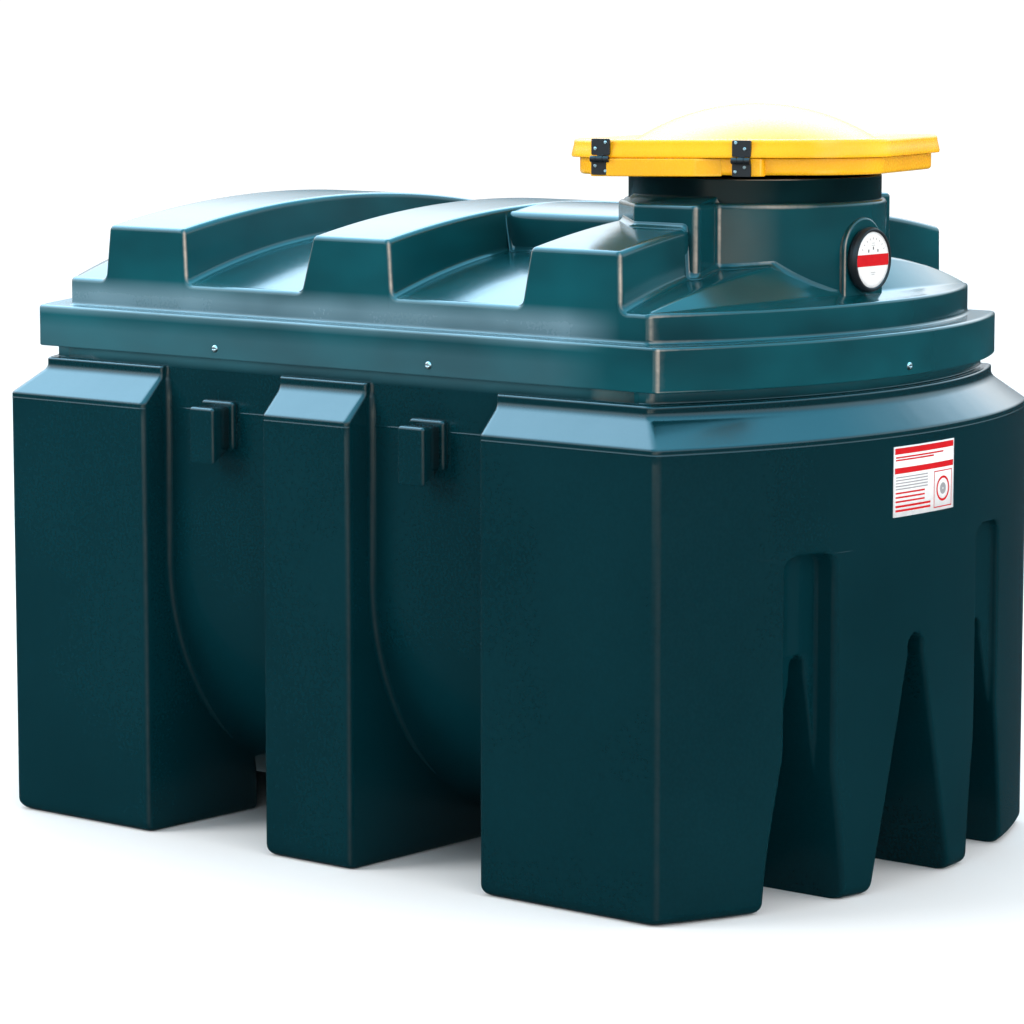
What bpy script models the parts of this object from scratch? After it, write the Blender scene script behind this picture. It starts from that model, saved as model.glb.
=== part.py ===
"""Bunded storage tank: a moulded plastic oil tank on hollow feet, with a hinged filling lid.

Metres, +X towards the gauge end, -Y towards the front, +Z up. The origin is on the ground
under the middle of the tank.
"""
import math

import bmesh
import bpy
from mathutils import Matrix, Vector

# Driving dimensions of the bund, the outer tank
HALF_WIDTH = 0.610
CORNER_X = 0.8315
END_BOW = 0.150
SHOULDER_LOW = 0.866
SHOULDER_HIGH = 0.9365
SHOULDER_INSET = 0.065
BUND_TOP = 1.033
WALL = 0.010
GAP = 0.0003

# The trough between the feet: upright walls on a half-round belly
TROUGH_RADIUS = 0.543
TROUGH_CENTRE_Z = 0.562
TROUGH_END_X = 0.740
BELLY_HALF_ANGLE = 40.0
BELLY_STEP = 5.0

# Feet along the sides
MIDDLE_FOOT_X = (-0.1315, 0.0945)
MIDDLE_FOOT_INNER_Y = 0.150
FAR_CORNER_FOOT_X = -0.4495
GAUGE_CORNER_FOOT_X = 0.4175

# Arches and slots in an end, each given at the ground and at the tip
SIDE_ARCH_Y = 0.295
SIDE_ARCH_HALF = 0.100
MIDDLE_ARCH_HALF = 0.131
ARCH_TIP_HALF = 0.022
ARCH_TOP = 0.478
ARCH_SPRING = 0.440
ARCH_OVERLAP = 0.040
ARCH_DROP = 0.010
SLOT_HALF = 0.057
SLOT_TOP = 0.655
SLOT_LOW = 0.240
SLOT_DEPTH = 0.031
SLOT_CORNER = 0.025
LEG_TOP = 0.500

# The cover: a rim that laps over the bund, and a vaulted deck with cross ribs
RIM_HALF_WIDTH = 0.5555
RIM_CORNER_X = 0.7955
RIM_SHIFT_X = -0.008
RIM_LOW = 0.960
RIM_HIGH = 1.0433
RIM_WALL = 0.0095
DECK_HALF_WIDTH = 0.520
DECK_CORNER_X = 0.745
DECK_EDGE_Z = 1.100
DECK_RISE = 0.080
ARCH_BACK = 0.006
HIP_STEPS = ((0.0, 1.0), (0.68, 0.10), (1.0, 0.0))
RIB_FRONT_TOP = 1.210
RIB_RISE = 0.051
RIBS = {"cross_rib_far": ((-0.647, -0.415), (-0.633, -0.421)),
        "cross_rib_middle": ((-0.109, 0.128), (-0.076, 0.120)),
        "cross_rib_gauge": ((0.445, 0.681), (0.468, 0.679))}
SPINE_HALF_WIDTH = 0.168
SPINE_TOP = 1.2465
SPINE_CROWN = 0.014
STATION_STEP = 0.040

# The neck and what it carries
NECK_X = 0.597
NECK_RADIUS = 0.2515
NECK_LOW = 1.050
NECK_TOP = 1.285
NECK_LEDGE = 0.010
BLOCK_X = (0.440, 0.717)
BLOCK_HALF_WIDTH = 0.339
BLOCK_CHAMFER = (0.126, 0.115)
COLLAR_RADIUS = 0.242
COLLAR_TOP = 1.330
GAUGE_FACE_X = 0.853
BOSS_HALF_WIDTH = 0.0625
BOSS_CENTRE_Z = 1.193
GAUGE_CENTRE_Z = 1.176
BEZEL_RADIUS = 0.0625
BEZEL_DEPTH = 0.015
DIAL_RADIUS = 0.053
DIAL_RECESS = 0.004
DIAL_THICKNESS = 0.002

# The yellow filling lid, a square with cut corners turned on the neck
LID_TURN = math.radians(19.7)
LID_HALF = 0.3035
LID_CORNER_CUT = 0.076
TRAY_HALF = 0.2905
TRAY_LOW = 1.3305
SEAM_Z = 1.3665
LID_BAND_TOP = 1.400
LID_WALL = 0.006
LID_SEAM = 0.0004
LID_BROW = 0.004
POCKET_CORNER_TRIM = 0.004
DOME_RADIUS = 0.239
DOME_RISE = 0.064
DOME_SHARES = (1.0, 0.8, 0.6, 0.4, 0.2, 0.04)
HINGE_OFFSET = 0.009
HINGE_X = (-0.208, 0.081)
HINGE_HALF_WIDTH = 0.018
LEAF_THICKNESS = 0.0032
LEAF_LENGTH = 0.0305
KNUCKLE_RADIUS = 0.006
KNUCKLE_HALF = 0.0065
KNUCKLE_GAP = 0.0006
PIN_RADIUS = 0.0025
BORE_RADIUS = 0.0034
LOWER_LEAF_TOP = -0.0042
UPPER_LEAF_FOOT = 0.0068
LOWER_WEB_INNER_Y = 0.001
LOWER_WEB_Z = (-0.006, -0.003)
UPPER_WEB_INNER_Y = 0.0036
UPPER_WEB_Z = (0.0015, 0.0090)
WEB_TRIM = 0.0002
PAD_MARGIN = 0.024
PAD_GAP = 0.010
PAD_TAPER = 0.058

# Lifting lugs in the side bays
LUG_X = (-0.302, 0.243)
LUG_HALF_WIDTH = 0.033
LUG_FACE_Y = 0.600
LUG_LOW = 0.756
LUG_TOP = 0.866
LUG_FALL = 0.003
FLANGE_HALF_WIDTH = 0.044
FLANGE_TOP = 0.879
FLANGE_LOW = 0.782
FLANGE_DEPTH = 0.012

# Cutters run on past what they cut by a reach, or clear of the whole tank
REACH = 0.100
TRIM = 0.001
CLEAR_X = 1.200
CLEAR_Y = 0.800
CLEAR_Z = 1.200
COVER_CUT = (0.900, 1.500)

ARC_STEPS = 16
CORNER_STEPS = 4
TIP_STEPS = 6
ROUND_STEPS = 48
GAUGE_STEPS = 32
KNUCKLE_STEPS = 16
PIN_STEPS = 12
SHARP_ANGLE = 35.0
PLANES = {"X": Matrix(((0, 0, 1, 0), (1, 0, 0, 0), (0, 1, 0, 0), (0, 0, 0, 1))),
          "Y": Matrix(((1, 0, 0, 0), (0, 0, -1, 0), (0, 1, 0, 0), (0, 0, 0, 1))),
          "Z": Matrix.Identity(4)}


def clear_scene():
    """Remove every object that Blender starts with."""
    for old in list(bpy.data.objects):
        bpy.data.objects.remove(old)


def new_collection(name):
    """A collection linked to the scene."""
    collection = bpy.data.collections.new(name)
    bpy.context.scene.collection.children.link(collection)
    return collection


def plastic(name, colour, roughness, metallic=0.0):
    """A Principled material with the part's colour and roughness."""
    finish = bpy.data.materials.new(name)
    finish.use_nodes = True
    shader = finish.node_tree.nodes["Principled BSDF"]
    shader.inputs["Base Color"].default_value = (*colour, 1.0)
    shader.inputs["Roughness"].default_value = roughness
    shader.inputs["Metallic"].default_value = metallic
    return finish


def place_mesh(name, mesh, finish=None):
    """An object of the tank, or a hidden cutter where no finish is given."""
    piece = bpy.data.objects.new(name, mesh)
    if finish is None:
        cutters.objects.link(piece)
        piece.hide_render = True
        piece.display_type = "WIRE"
    else:
        parts.objects.link(piece)
        mesh.materials.append(finish)
    return piece


def finish_mesh(name, shape, finish):
    """Turn a bmesh with its faces pointing out into an object."""
    bmesh.ops.recalc_face_normals(shape, faces=shape.faces)
    mesh = bpy.data.meshes.new(name)
    shape.to_mesh(mesh)
    shape.free()
    return place_mesh(name, mesh, finish)


def outline_solid(name, points, axis, low, high, finish=None):
    """A flat closed outline, filled and given its thickness from low to high along an axis."""
    curve = bpy.data.curves.new(name, "CURVE")
    curve.dimensions = "2D"
    curve.fill_mode = "BOTH"
    curve.extrude = (high - low) / 2
    spline = curve.splines.new("POLY")
    spline.points.add(len(points) - 1)
    for point, (across, along) in zip(spline.points, points):
        point.co = (across, along, 0.0, 1.0)
    spline.use_cyclic_u = True
    outline = bpy.data.objects.new(name, curve)
    cutters.objects.link(outline)
    direction = -1 if axis == "Y" else 1
    outline.matrix_world = PLANES[axis] @ Matrix.Translation((0, 0, direction * (low + high) / 2))
    bpy.context.view_layer.update()
    evaluated = outline.evaluated_get(bpy.context.evaluated_depsgraph_get())
    mesh = bpy.data.meshes.new_from_object(evaluated)
    mesh.transform(outline.matrix_world)
    bpy.data.objects.remove(outline)
    shape = bmesh.new()
    shape.from_mesh(mesh)
    bpy.data.meshes.remove(mesh)
    bmesh.ops.remove_doubles(shape, verts=shape.verts, dist=0.00001)
    return finish_mesh(name, shape, finish)


def box(name, low, high, finish=None):
    """A box between two corners."""
    shape = bmesh.new()
    bmesh.ops.create_cube(shape, size=1.0)
    size = Vector(high) - Vector(low)
    middle = (Vector(high) + Vector(low)) / 2
    bmesh.ops.scale(shape, vec=size, verts=shape.verts)
    bmesh.ops.translate(shape, vec=middle, verts=shape.verts)
    return finish_mesh(name, shape, finish)


def cylinder(name, radius, low, high, axis="Z", centre=(0, 0), steps=ROUND_STEPS, finish=None):
    """A cylinder along an axis, with its centre given across that axis."""
    shape = bmesh.new()
    bmesh.ops.create_cone(shape, cap_ends=True, segments=steps, radius1=radius, radius2=radius,
                          depth=high - low)
    frame = PLANES[axis] @ Matrix.Translation((*centre, (low + high) / 2))
    bmesh.ops.transform(shape, matrix=frame, verts=shape.verts)
    return finish_mesh(name, shape, finish)


def turned(name, profile, centre, finish=None, steps=ROUND_STEPS):
    """A closed ring: a profile of radii and heights turned about an upright axis."""
    shape = bmesh.new()
    corners = [shape.verts.new((radius, 0.0, height)) for radius, height in profile]
    for first, second in zip(corners, corners[1:] + corners[:1]):
        shape.edges.new((first, second))
    mesh = bpy.data.meshes.new(name)
    shape.to_mesh(mesh)
    shape.free()
    piece = place_mesh(name, mesh, finish)
    piece.location = (*centre, 0.0)
    screw = piece.modifiers.new("Turn", "SCREW")
    screw.steps = steps
    screw.render_steps = steps
    screw.use_merge_vertices = True
    screw.merge_threshold = 0.00005
    return piece


def loft(name, rings, finish=None, ends=True, closed=True):
    """A skin over rings of equally many points, with flat ends."""
    shape = bmesh.new()
    loops = [[shape.verts.new(point) for point in ring] for ring in rings]
    count = len(rings[0])
    for lower, upper in zip(loops, loops[1:]):
        for here in range(count if closed else count - 1):
            there = (here + 1) % count
            shape.faces.new((lower[here], lower[there], upper[there], upper[here]))
    if ends:
        shape.faces.new(loops[0])
        shape.faces.new(loops[-1])
    return finish_mesh(name, shape, finish)


def combine(piece, other, operation):
    """Cut, join or clip a piece with another mesh object."""
    modifier = piece.modifiers.new(operation.title(), "BOOLEAN")
    modifier.operation = operation
    modifier.solver = "EXACT"
    modifier.object = other
    return piece


def arc_points(centre, radius, start, end, steps):
    """Points on an arc, with its angles in degrees."""
    turns = [math.radians(start + (end - start) * step / steps) for step in range(steps + 1)]
    return [(centre[0] + radius * math.cos(turn), centre[1] + radius * math.sin(turn)) for turn in turns]


def bow(half_width, across):
    """How far a bowed end stands out past its corners at a distance across the tank."""
    radius = (half_width ** 2 + END_BOW ** 2) / (2 * END_BOW)
    return math.sqrt(radius ** 2 - across ** 2) - (radius - END_BOW)


def end_edge(half_width, corner_x):
    """The plan line of a bowed end, from the front corner to the back corner."""
    places = [half_width * (2 * step / ARC_STEPS - 1) for step in range(ARC_STEPS + 1)]
    return [(corner_x + bow(half_width, across), across) for across in places]


def tank_outline(half_width, corner_x, shift=0.0):
    """The plan of the tank: straight sides and two bowed ends."""
    near = [(shift + x, y) for x, y in end_edge(half_width, corner_x)]
    far = [(shift - x, -y) for x, y in end_edge(half_width, corner_x)]
    return near + far


def belly_arc(radius, start, end):
    """Points round the belly between two angles, at facets that every piece there shares."""
    def on_facet(turn):
        first = math.floor(turn / BELLY_STEP) * BELLY_STEP
        share = (turn - first) / BELLY_STEP
        ends = [(radius * math.cos(math.radians(a)), TROUGH_CENTRE_Z + radius * math.sin(math.radians(a)))
                for a in (first, first + BELLY_STEP)]
        return tuple(a * (1 - share) + b * share for a, b in zip(*ends))
    first = math.floor(start / BELLY_STEP) + 1
    between = [step * BELLY_STEP for step in range(first, math.ceil(end / BELLY_STEP))]
    return [on_facet(turn) for turn in [start] + between + [end]]


def trough_section(radius, top):
    """The trough seen from the end: a half-round belly with upright sides, front to back."""
    return [(-radius, top)] + belly_arc(radius, 180, 360) + [(radius, top)]


def trough_band(start, end, top=None):
    """A stretch of the trough's wall between two angles round the belly, with its thickness."""
    outer = belly_arc(TROUGH_RADIUS, start, end)
    inner = belly_arc(TROUGH_RADIUS - WALL, start, end)[::-1]
    if top is None:
        return outer + inner
    return [(-TROUGH_RADIUS, top)] + outer + inner + [(WALL - TROUGH_RADIUS, top)]


def build_trough():
    """The walls and belly between the feet, and the plates that close their ends."""
    reach = TROUGH_END_X - WALL - GAP
    seam = math.degrees(GAP / TROUGH_RADIUS) / 2
    front = trough_band(180, 270 - BELLY_HALF_ANGLE - seam, BUND_TOP)
    outline_solid("front_wall", front, "X", -reach, reach, green)
    back = [(-across, height) for across, height in front]
    outline_solid("back_wall", back, "X", -reach, reach, green)
    belly = trough_band(270 - BELLY_HALF_ANGLE + seam, 270 + BELLY_HALF_ANGLE - seam)
    outline_solid("belly_floor", belly, "X", -reach, reach, green)
    plate = trough_section(TROUGH_RADIUS, BUND_TOP)
    outline_solid("gauge_end_plate", plate, "X", TROUGH_END_X - WALL, TROUGH_END_X, green)
    outline_solid("far_end_plate", plate, "X", -TROUGH_END_X, WALL - TROUGH_END_X, green)


def arch_cutter(name, centre, half, side):
    """The pointed opening between two feet of an end, from the end plate out past the face."""
    foot = half + TRIM
    left = [(centre - foot, -ARCH_DROP), (centre - ARCH_TIP_HALF, ARCH_SPRING)]
    tip = arc_points((centre, ARCH_TOP - ARCH_TIP_HALF), ARCH_TIP_HALF, 170, 10, TIP_STEPS)
    right = [(centre + ARCH_TIP_HALF, ARCH_SPRING), (centre + foot, -ARCH_DROP)]
    low, high = sorted((side * (TROUGH_END_X - ARCH_OVERLAP), side * CLEAR_X))
    return outline_solid(name, left + tip + right, "X", low, high)


def slot_cutter(name, centre, side):
    """The shallow upright slot above a side arch, sunk behind the bowed face."""
    bend, height = SLOT_HALF - SLOT_CORNER, SLOT_TOP - SLOT_CORNER
    top = arc_points((centre - bend, height), SLOT_CORNER, 180, 90, CORNER_STEPS)
    top += arc_points((centre + bend, height), SLOT_CORNER, 90, 0, CORNER_STEPS)
    outline = [(centre - SLOT_HALF, SLOT_LOW)] + top + [(centre + SLOT_HALF, SLOT_LOW)]
    back = CORNER_X + bow(HALF_WIDTH, centre) - SLOT_DEPTH
    low, high = sorted((side * back, side * CLEAR_X))
    return outline_solid(name, outline, "X", low, high)


def end_block(name, side, inner_x, finish=None):
    """One whole end of the bund: the bowed face, its corners, the shoulder and the wall above."""
    def ring(inset, height):
        half = HALF_WIDTH - inset
        edge = end_edge(half, CORNER_X - inset)
        plan = [(inner_x, -half)] + edge + [(inner_x, half)]
        return [(side * x, y, height) for x, y in plan]
    top_inset = HALF_WIDTH - TROUGH_RADIUS
    levels = ((0.0, 0.0), (0.0, SHOULDER_LOW), (SHOULDER_INSET, SHOULDER_HIGH), (top_inset, BUND_TOP))
    return loft(name, [ring(inset, height) for inset, height in levels], finish)


def build_end(label, side, inner_x):
    """The pieces of an end: two corner feet, two inner legs and the panel over them."""
    start, stop = sorted((side * (TROUGH_END_X + GAP), side * REACH))
    section = trough_section(TROUGH_RADIUS + GAP, CLEAR_Z)
    hollow = outline_solid(label + "_trough_space", section, "X", start, stop)
    openings = [arch_cutter(label + "_middle_arch", 0.0, MIDDLE_ARCH_HALF, side)]
    for word, across in (("front", -SIDE_ARCH_Y), ("back", SIDE_ARCH_Y)):
        openings.append(arch_cutter(f"{label}_{word}_arch", across, SIDE_ARCH_HALF, side))
        openings.append(slot_cutter(f"{label}_{word}_slot", across, side))
    beyond = side * CLEAR_X
    panel_back = side * (TROUGH_END_X + GAP)
    corner_back = side * (inner_x - REACH)
    near_seam, far_seam = SIDE_ARCH_Y - GAP / 2, SIDE_ARCH_Y + GAP / 2
    leg_top, panel_low = LEG_TOP - GAP / 2, LEG_TOP + GAP / 2
    regions = {
        f"{label}_front_corner": ((corner_back, -CLEAR_Y, -REACH), (beyond, -far_seam, CLEAR_Z)),
        f"{label}_back_corner": ((corner_back, far_seam, -REACH), (beyond, CLEAR_Y, CLEAR_Z)),
        f"{label}_panel": ((panel_back, -near_seam, panel_low), (beyond, near_seam, CLEAR_Z)),
        f"{label}_front_leg": ((panel_back, -near_seam, -REACH), (beyond, -GAP, leg_top)),
        f"{label}_back_leg": ((panel_back, GAP, -REACH), (beyond, near_seam, leg_top))}
    for name, (first, second) in regions.items():
        low = [min(pair) for pair in zip(first, second)]
        high = [max(pair) for pair in zip(first, second)]
        piece = end_block(name, side, inner_x, green)
        combine(piece, hollow, "DIFFERENCE")
        for opening in openings:
            combine(piece, opening, "DIFFERENCE")
        combine(piece, box(name + "_region", low, high), "INTERSECT")


def build_middle_feet():
    """The foot under the middle of each side, with its sloping shoulder."""
    for word, side in (("front", -1), ("back", 1)):
        lowest = 270 + math.degrees(math.asin(MIDDLE_FOOT_INNER_Y / TROUGH_RADIUS))
        inner = belly_arc(TROUGH_RADIUS + GAP, lowest, 360)
        section = [(MIDDLE_FOOT_INNER_Y, 0.0), (HALF_WIDTH, 0.0), (HALF_WIDTH, SHOULDER_LOW),
                   (HALF_WIDTH - SHOULDER_INSET, SHOULDER_HIGH), (TROUGH_RADIUS + GAP, SHOULDER_HIGH)]
        points = [(side * y, z) for y, z in section + inner[::-1]]
        outline_solid(f"{word}_middle_foot", points, "X", *MIDDLE_FOOT_X, finish=green)


def build_lugs():
    """Four lifting lugs, each a hooked block on a flange against a bay wall."""
    wall = TROUGH_RADIUS + GAP
    for word, side in (("front", -1), ("back", 1)):
        for place, centre in zip(("far", "gauge"), LUG_X):
            section = [(wall, FLANGE_TOP), (wall + FLANGE_DEPTH, FLANGE_TOP - TRIM),
                       (wall + FLANGE_DEPTH, LUG_TOP + LUG_FALL), (LUG_FACE_Y, LUG_TOP),
                       (LUG_FACE_Y + TRIM, LUG_LOW), (wall + FLANGE_DEPTH, FLANGE_LOW), (wall, FLANGE_LOW)]
            points = [(side * y, z) for y, z in section]
            lug = outline_solid(f"{word}_{place}_lug", points, "X", centre - LUG_HALF_WIDTH,
                                centre + LUG_HALF_WIDTH, green)
            inner, outer = sorted((side * wall, side * (wall + FLANGE_DEPTH)))
            flange = box(lug.name + "_flange", (centre - FLANGE_HALF_WIDTH, inner, FLANGE_LOW),
                         (centre + FLANGE_HALF_WIDTH, outer, FLANGE_TOP - TRIM))
            combine(lug, flange, "UNION")


def deck_height(across):
    """Height of the vaulted deck, straight between stations as its facets are."""
    place = min(abs(across), DECK_HALF_WIDTH) / STATION_STEP
    low, high = math.floor(place) * STATION_STEP, math.ceil(place) * STATION_STEP
    def vault(y):
        return DECK_EDGE_Z + DECK_RISE * (1 - (y / DECK_HALF_WIDTH) ** 2)
    share = place - math.floor(place)
    return vault(low) * (1 - share) + vault(high) * share


def rib_height(across):
    """Height of a cross rib's crowned top."""
    return RIB_FRONT_TOP + RIB_RISE * (1 - (across / DECK_HALF_WIDTH) ** 2)


def stations(start, end):
    """Places across the tank where the vault has its facets, with the two ends."""
    first = math.floor(start / STATION_STEP) + 1
    inner = [step * STATION_STEP for step in range(first, math.ceil(end / STATION_STEP))]
    return [start] + [y for y in inner if start + TRIM < y < end - TRIM] + [end]


def neck_plan():
    """The squarish block that carries the neck on the gauge-end rib, seen from above."""
    low_x, high_x = BLOCK_X
    cut_x, cut_y = BLOCK_CHAMFER
    half = BLOCK_HALF_WIDTH
    return [(low_x, -half + cut_y), (low_x + cut_x, -half), (high_x, -half),
            (high_x, half), (low_x + cut_x, half), (low_x, half - cut_y)]


def grown(points, amount):
    """An outline moved outwards by a small amount, for a convex plan about its own middle."""
    middle_x = sum(x for x, y in points) / len(points)
    return [(x + math.copysign(amount, x - middle_x), y + math.copysign(amount, y)) for x, y in points]


def vault(name, inset, low, finish=None):
    """The deck's outer form as a solid: a vault with hipped, bowed ends on upright sides."""
    half, corner_x = DECK_HALF_WIDTH - inset, DECK_CORNER_X - inset
    arch_x = corner_x - ARCH_BACK
    sections = []
    for side, steps in ((-1, HIP_STEPS[::-1]), (1, HIP_STEPS)):
        for share, rise in steps:
            section = []
            for y in stations(-half, half):
                x = arch_x + (corner_x + bow(half, y) - arch_x) * share
                height = DECK_EDGE_Z + rise * (deck_height(y) - DECK_EDGE_Z)
                section.append((side * x, y, height - inset))
            sections.append(section)
    piece = loft(name, sections, finish, ends=False, closed=False)
    shape = bmesh.new()
    shape.from_mesh(piece.data)
    edge = [edge for edge in shape.edges if edge.is_boundary]
    lower = bmesh.ops.extrude_edge_only(shape, edges=edge)["geom"]
    for item in lower:
        if isinstance(item, bmesh.types.BMVert):
            item.co.z = low
    bmesh.ops.contextual_create(shape, geom=[item for item in lower if isinstance(item, bmesh.types.BMEdge)])
    bmesh.ops.recalc_face_normals(shape, faces=shape.faces)
    shape.to_mesh(piece.data)
    shape.free()
    return piece


def cut_neck_space(piece):
    """Clear the room that the round neck and its block take up."""
    low, high = COVER_CUT
    bore = cylinder(piece.name + "_neck_hole", NECK_RADIUS + GAP, low, high, centre=(NECK_X, 0.0))
    combine(piece, bore, "DIFFERENCE")
    corner = outline_solid(piece.name + "_block_hole", grown(neck_plan(), GAP), "Z", low, high)
    combine(piece, corner, "DIFFERENCE")


def build_deck():
    """The vaulted deck, a shell standing on the rim, with a hole for the neck."""
    deck = vault("deck", 0.0, RIM_HIGH + GAP, green)
    combine(deck, vault("deck_inside", WALL, RIM_HIGH - REACH), "DIFFERENCE")
    cut_neck_space(deck)
    low, high = COVER_CUT
    half = BOSS_HALF_WIDTH + GAP
    boss = box("boss_hole", (NECK_X, -half, low), (GAUGE_FACE_X + GAP, half, high))
    combine(deck, boss, "DIFFERENCE")


def build_rim():
    """The rim of the cover, an angle section that laps over the bund's top edge."""
    rim = outline_solid("rim_skirt", tank_outline(RIM_HALF_WIDTH, RIM_CORNER_X, RIM_SHIFT_X), "Z",
                        RIM_LOW, RIM_HIGH, green)
    lap = tank_outline(RIM_HALF_WIDTH - RIM_WALL, RIM_CORNER_X - RIM_WALL, RIM_SHIFT_X)
    combine(rim, outline_solid("rim_lap", lap, "Z", RIM_LOW - REACH, BUND_TOP + GAP), "DIFFERENCE")
    inside = tank_outline(DECK_HALF_WIDTH - WALL, DECK_CORNER_X - WALL)
    opening = outline_solid("rim_opening", inside, "Z", RIM_LOW - REACH, RIM_HIGH + REACH)
    combine(rim, opening, "DIFFERENCE")


def rib(name, spans, start, end):
    """A cross rib: a tapered section that stands on the vaulted deck and has a crowned top."""
    (low_left, low_right), (top_left, top_right) = spans
    sections = []
    for y in stations(start, end):
        base = deck_height(y) + GAP
        top = rib_height(y)
        sections.append([(low_left, y, base), (low_right, y, base), (top_right, y, top), (top_left, y, top)])
    return loft(name, sections, green)


def build_ribs():
    """Three cross ribs; the one at the gauge end stops at the neck's block."""
    edge = DECK_HALF_WIDTH
    rib("cross_rib_far", RIBS["cross_rib_far"], -edge, edge)
    rib("cross_rib_middle", RIBS["cross_rib_middle"], -edge, edge)
    rib("front_cross_rib_gauge", RIBS["cross_rib_gauge"], -edge, -BLOCK_HALF_WIDTH - GAP)
    rib("back_cross_rib_gauge", RIBS["cross_rib_gauge"], BLOCK_HALF_WIDTH + GAP, edge)


def build_spine():
    """The raised block along the middle, from the middle rib to the neck."""
    places = stations(-SPINE_HALF_WIDTH, SPINE_HALF_WIDTH)
    base = [(y, deck_height(y) + GAP) for y in places]
    top = [(y, SPINE_TOP + SPINE_CROWN * (1 - (y / SPINE_HALF_WIDTH) ** 2)) for y in places[::-1]]
    (_, low_right), (_, top_right) = RIBS["cross_rib_middle"]
    start = max(low_right, top_right) + GAP
    cut_neck_space(outline_solid("spine_block", base + top, "X", start, NECK_X, green))


def build_neck():
    """The neck with its block and inner ledge, and the collar that stands on the ledge."""
    inner = NECK_RADIUS - WALL
    ledge = COLLAR_RADIUS - WALL
    neck = cylinder("neck", NECK_RADIUS, NECK_LOW, NECK_TOP, centre=(NECK_X, 0.0), finish=green)
    combine(neck, outline_solid("neck_block", neck_plan(), "Z", NECK_LOW, NECK_TOP), "UNION")
    wide = cylinder("neck_bore", inner, NECK_LOW - REACH, NECK_TOP - NECK_LEDGE, centre=(NECK_X, 0.0))
    narrow = cylinder("neck_mouth", ledge, NECK_LOW - REACH, NECK_TOP + REACH, centre=(NECK_X, 0.0))
    combine(neck, wide, "DIFFERENCE")
    combine(neck, narrow, "DIFFERENCE")
    profile = [(COLLAR_RADIUS, COLLAR_TOP), (COLLAR_RADIUS, NECK_TOP + GAP),
               (COLLAR_RADIUS - WALL, NECK_TOP + GAP), (COLLAR_RADIUS - WALL, COLLAR_TOP)]
    turned("neck_collar", profile, (NECK_X, 0.0), green)


def build_gauge():
    """The arched boss on the neck with its round gauge."""
    arch = arc_points((0.0, BOSS_CENTRE_Z), BOSS_HALF_WIDTH, 0, 180, ARC_STEPS)
    outline = [(-BOSS_HALF_WIDTH, NECK_LOW), (BOSS_HALF_WIDTH, NECK_LOW)] + arch
    boss = outline_solid("gauge_boss", outline, "X", NECK_X, GAUGE_FACE_X, green)
    low, high = COVER_CUT
    combine(boss, cylinder("boss_back", NECK_RADIUS + GAP, low, high, centre=(NECK_X, 0.0)), "DIFFERENCE")
    centre = (0.0, GAUGE_CENTRE_Z)
    face = GAUGE_FACE_X + GAP
    bezel = cylinder("gauge_bezel", BEZEL_RADIUS, face, face + BEZEL_DEPTH, "X", centre, GAUGE_STEPS, black)
    well = face + BEZEL_DEPTH - DIAL_RECESS
    sunk = cylinder("bezel_well", DIAL_RADIUS + GAP, well, well + REACH, "X", centre, GAUGE_STEPS)
    combine(bezel, sunk, "DIFFERENCE")
    cylinder("gauge_dial", DIAL_RADIUS, well + GAP, well + DIAL_THICKNESS, "X", centre, GAUGE_STEPS, white)


def cut_square(half, cut, height, per_side=4):
    """A square with cut corners about the lid's middle, each side split into equal lengths."""
    middle = LID_HALF + HINGE_OFFSET
    corners = [(-half + cut, -half), (half - cut, -half), (half, -half + cut), (half, half - cut),
               (half - cut, half), (-half + cut, half), (-half, half - cut), (-half, -half + cut)]
    points = []
    for (x, y), (next_x, next_y) in zip(corners, corners[1:] + corners[:1]):
        for step in range(per_side):
            share = step / per_side
            points.append((x + (next_x - x) * share, middle + y + (next_y - y) * share, height))
    return points


def dome_ring(outline, radius, height):
    """A circle with its points in the same directions as an outline's."""
    middle = LID_HALF + HINGE_OFFSET
    turns = [math.atan2(y - middle, x) for x, y, z in outline]
    return [(radius * math.cos(turn), middle + radius * math.sin(turn), height) for turn in turns]


def build_tray(hinge):
    """The yellow tray that carries the lid, with proud pads behind the hinges."""
    middle = LID_HALF + HINGE_OFFSET
    low = TRAY_LOW - SEAM_Z
    plan = [(x, y) for x, y, z in cut_square(TRAY_HALF, LID_CORNER_CUT, 0.0, 1)]
    tray = outline_solid("filling_tray", plan, "Z", low, 0.0, yellow)
    face = HINGE_OFFSET
    root = middle - TRAY_HALF + WALL / 2
    (left, _), (right, right_end) = [(x - PAD_MARGIN, x + PAD_MARGIN) for x in HINGE_X]
    bend = right - PAD_GAP
    long_pad = [(left, face), (bend - PAD_TAPER, face), (bend, root), (left + PAD_MARGIN, root),
                (left, root + PAD_MARGIN)]
    short_pad = [(right, face), (right_end, face), (right_end, root), (right, root)]
    combine(tray, outline_solid("long_pad", long_pad, "Z", low, 0.0), "UNION")
    combine(tray, outline_solid("short_pad", short_pad, "Z", low, 0.0), "UNION")
    corner_cut = LID_CORNER_CUT - POCKET_CORNER_TRIM
    pocket = [(x, y) for x, y, z in cut_square(TRAY_HALF - WALL, corner_cut, 0.0, 1)]
    combine(tray, outline_solid("tray_pocket", pocket, "Z", low + LID_WALL, REACH), "DIFFERENCE")
    mouth = cylinder("tray_mouth", COLLAR_RADIUS - WALL, low - REACH, REACH, centre=(0.0, middle))
    combine(tray, mouth, "DIFFERENCE")
    for name in ("filling_tray", "long_pad", "short_pad", "tray_pocket", "tray_mouth"):
        bpy.data.objects[name].parent = hinge


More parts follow.
